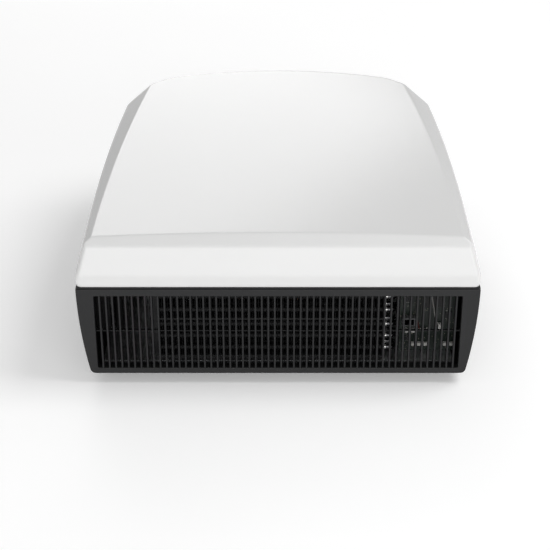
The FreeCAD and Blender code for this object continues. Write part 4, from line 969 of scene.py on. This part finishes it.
settle(bars("socket_contacts", contacts, gold, 0.05), "case", "socket_metal")
pins = [(IO_X - 2.0, serial_y + 2.77 * k, serial_z + 1.42) for k in (-2, -1, 0, 1, 2)]
pins += [(IO_X - 2.0, serial_y + 2.77 * k, serial_z - 1.42) for k in (-1.5, -0.5, 0.5, 1.5)]
settle(place_pins("serial_pins", pins, 0.5, 4.6, (0.0, math.pi / 2, 0.0), gold), "case", "socket_metal")
inlet_y = IO_REAR + INLET_SPOT[0]
blades = [(IO_X - 15.2, IO_X - 1.9, inlet_y + dy - 1.1, inlet_y + dy + 1.1, IO_MID + dz - 2.1,
           IO_MID + dz + 2.1) for dy, dz in ((-7, -1.5), (7, -1.5), (0, 3.0))]
settle(bars("inlet_blades", blades, tin, 0.35), "case", "socket_metal")

# ---------------------------------------------------------------- air filter
# A pleated sheet of grey felt is bonded into a moulded frame, which slides
# in behind the louvred door and is held by it.
FILTER_X, FILTER_Y, FILTER_Z = (-213.0, -203.0), (-178.4, -61.6), (30.4, 104.4)
mid_y, mid_z = sum(FILTER_Y) / 2, sum(FILTER_Z) / 2
half_y, half_z = (FILTER_Y[1] - FILTER_Y[0]) / 2, (FILTER_Z[1] - FILTER_Z[0]) / 2
loops = []
for grown, x in ((-6.0, FILTER_X[1]), (-6.0, FILTER_X[0] + 0.5), (-5.5, FILTER_X[0]), (-0.5, FILTER_X[0]),
                 (0.0, FILTER_X[0] + 0.5), (0.0, FILTER_X[1] - 0.5), (-0.5, FILTER_X[1])):
    r = march(len(cos), 5.0, 120.0, lambda q: soft_max(
        np.abs(q * cos) - half_y, np.abs(q * sin) - half_z, 1.5) > grown)
    loops.append(np.stack([np.full(len(cos), x), mid_y + r * cos, mid_z + r * sin], 1))
verts, faces = loft(np.array(loops))
filter_frame = finish_of("filter_frame", mottled((0.05, 0.05, 0.052), (0.07, 0.07, 0.072), 40.0),
                         uneven(0.2, 0.4, 300.0), bump=grain(1500.0), bump_height=0.00003)
settle(face_outward(solid("air_filter_frame", verts, faces, filter_frame, False)), "case", "filter_mesh",
       "air_filter")
FOLDS, FRAME_BAR, FELT_HALF = 73, 5.6, 0.2
verts, faces = folded_strip(
    np.where(np.arange(FOLDS) % 2, -205.2, -210.8),
    np.linspace(FILTER_Y[0] + FRAME_BAR, FILTER_Y[1] - FRAME_BAR, FOLDS),
    FELT_HALF, FILTER_Z[0] + FRAME_BAR, FILTER_Z[1] - FRAME_BAR)
felt = finish_of("filter_felt", mottled((0.16, 0.16, 0.155), (0.27, 0.27, 0.26), 500.0, 4.0), 0.95,
                 bump=grain(900.0, 4.0), bump_height=0.0002)
settle(face_outward(solid("air_filter_pleats", verts, faces, felt, False)), "case", "filter_mesh")

# ---------------------------------------------------------------- underside
# Rubber feet, two of them on ribbed levelling knobs; brass inserts for a
# ceiling mount; a zinc-plated chassis plate inside the tub.
dress(finish_of("foot_rubber", mottled((0.012, 0.012, 0.012), (0.022, 0.022, 0.022), 60.0, 3.0),
                uneven(0.15, 0.72, 300.0), bump=grain(1000.0, 3.0),
                bump_height=0.00008, edge=0.0005), "foot_left_pad", "foot_right_pad", "rear_feet")
dress(charcoal_finish("knob_abs", 0.020, 0.42), "foot_left_screw", "foot_right_screw")
dress(finish_of("turned_brass", mottled((0.5, 0.34, 0.12), (0.68, 0.48, 0.2), 80.0, 2.0),
                uneven(0.2, 0.24, 700.0, 2.0, (1.0, 1.0, 0.1)), metallic=1.0,
                bump=grain(1500.0), bump_height=0.00001, edge=0.0003), "mount_inserts")


def spangle(s):
    spot = s.node("ShaderNodeTexCoord", out=3)
    cells = s.node("ShaderNodeTexVoronoi", {"feature": "F1"}, {"Vector": spot, "Scale": 110.0}, out=1)
    grey = s.node("ShaderNodeSeparateColor", None, {0: cells})
    return grey.between((0.42, 0.43, 0.44), (0.58, 0.59, 0.6))


dress(finish_of("zinc_plate", spangle, uneven(0.2, 0.34, 200.0, 3.0), metallic=1.0,
                bump=grain(400.0), bump_height=0.00003, edge=0.0003), "chassis_plate")
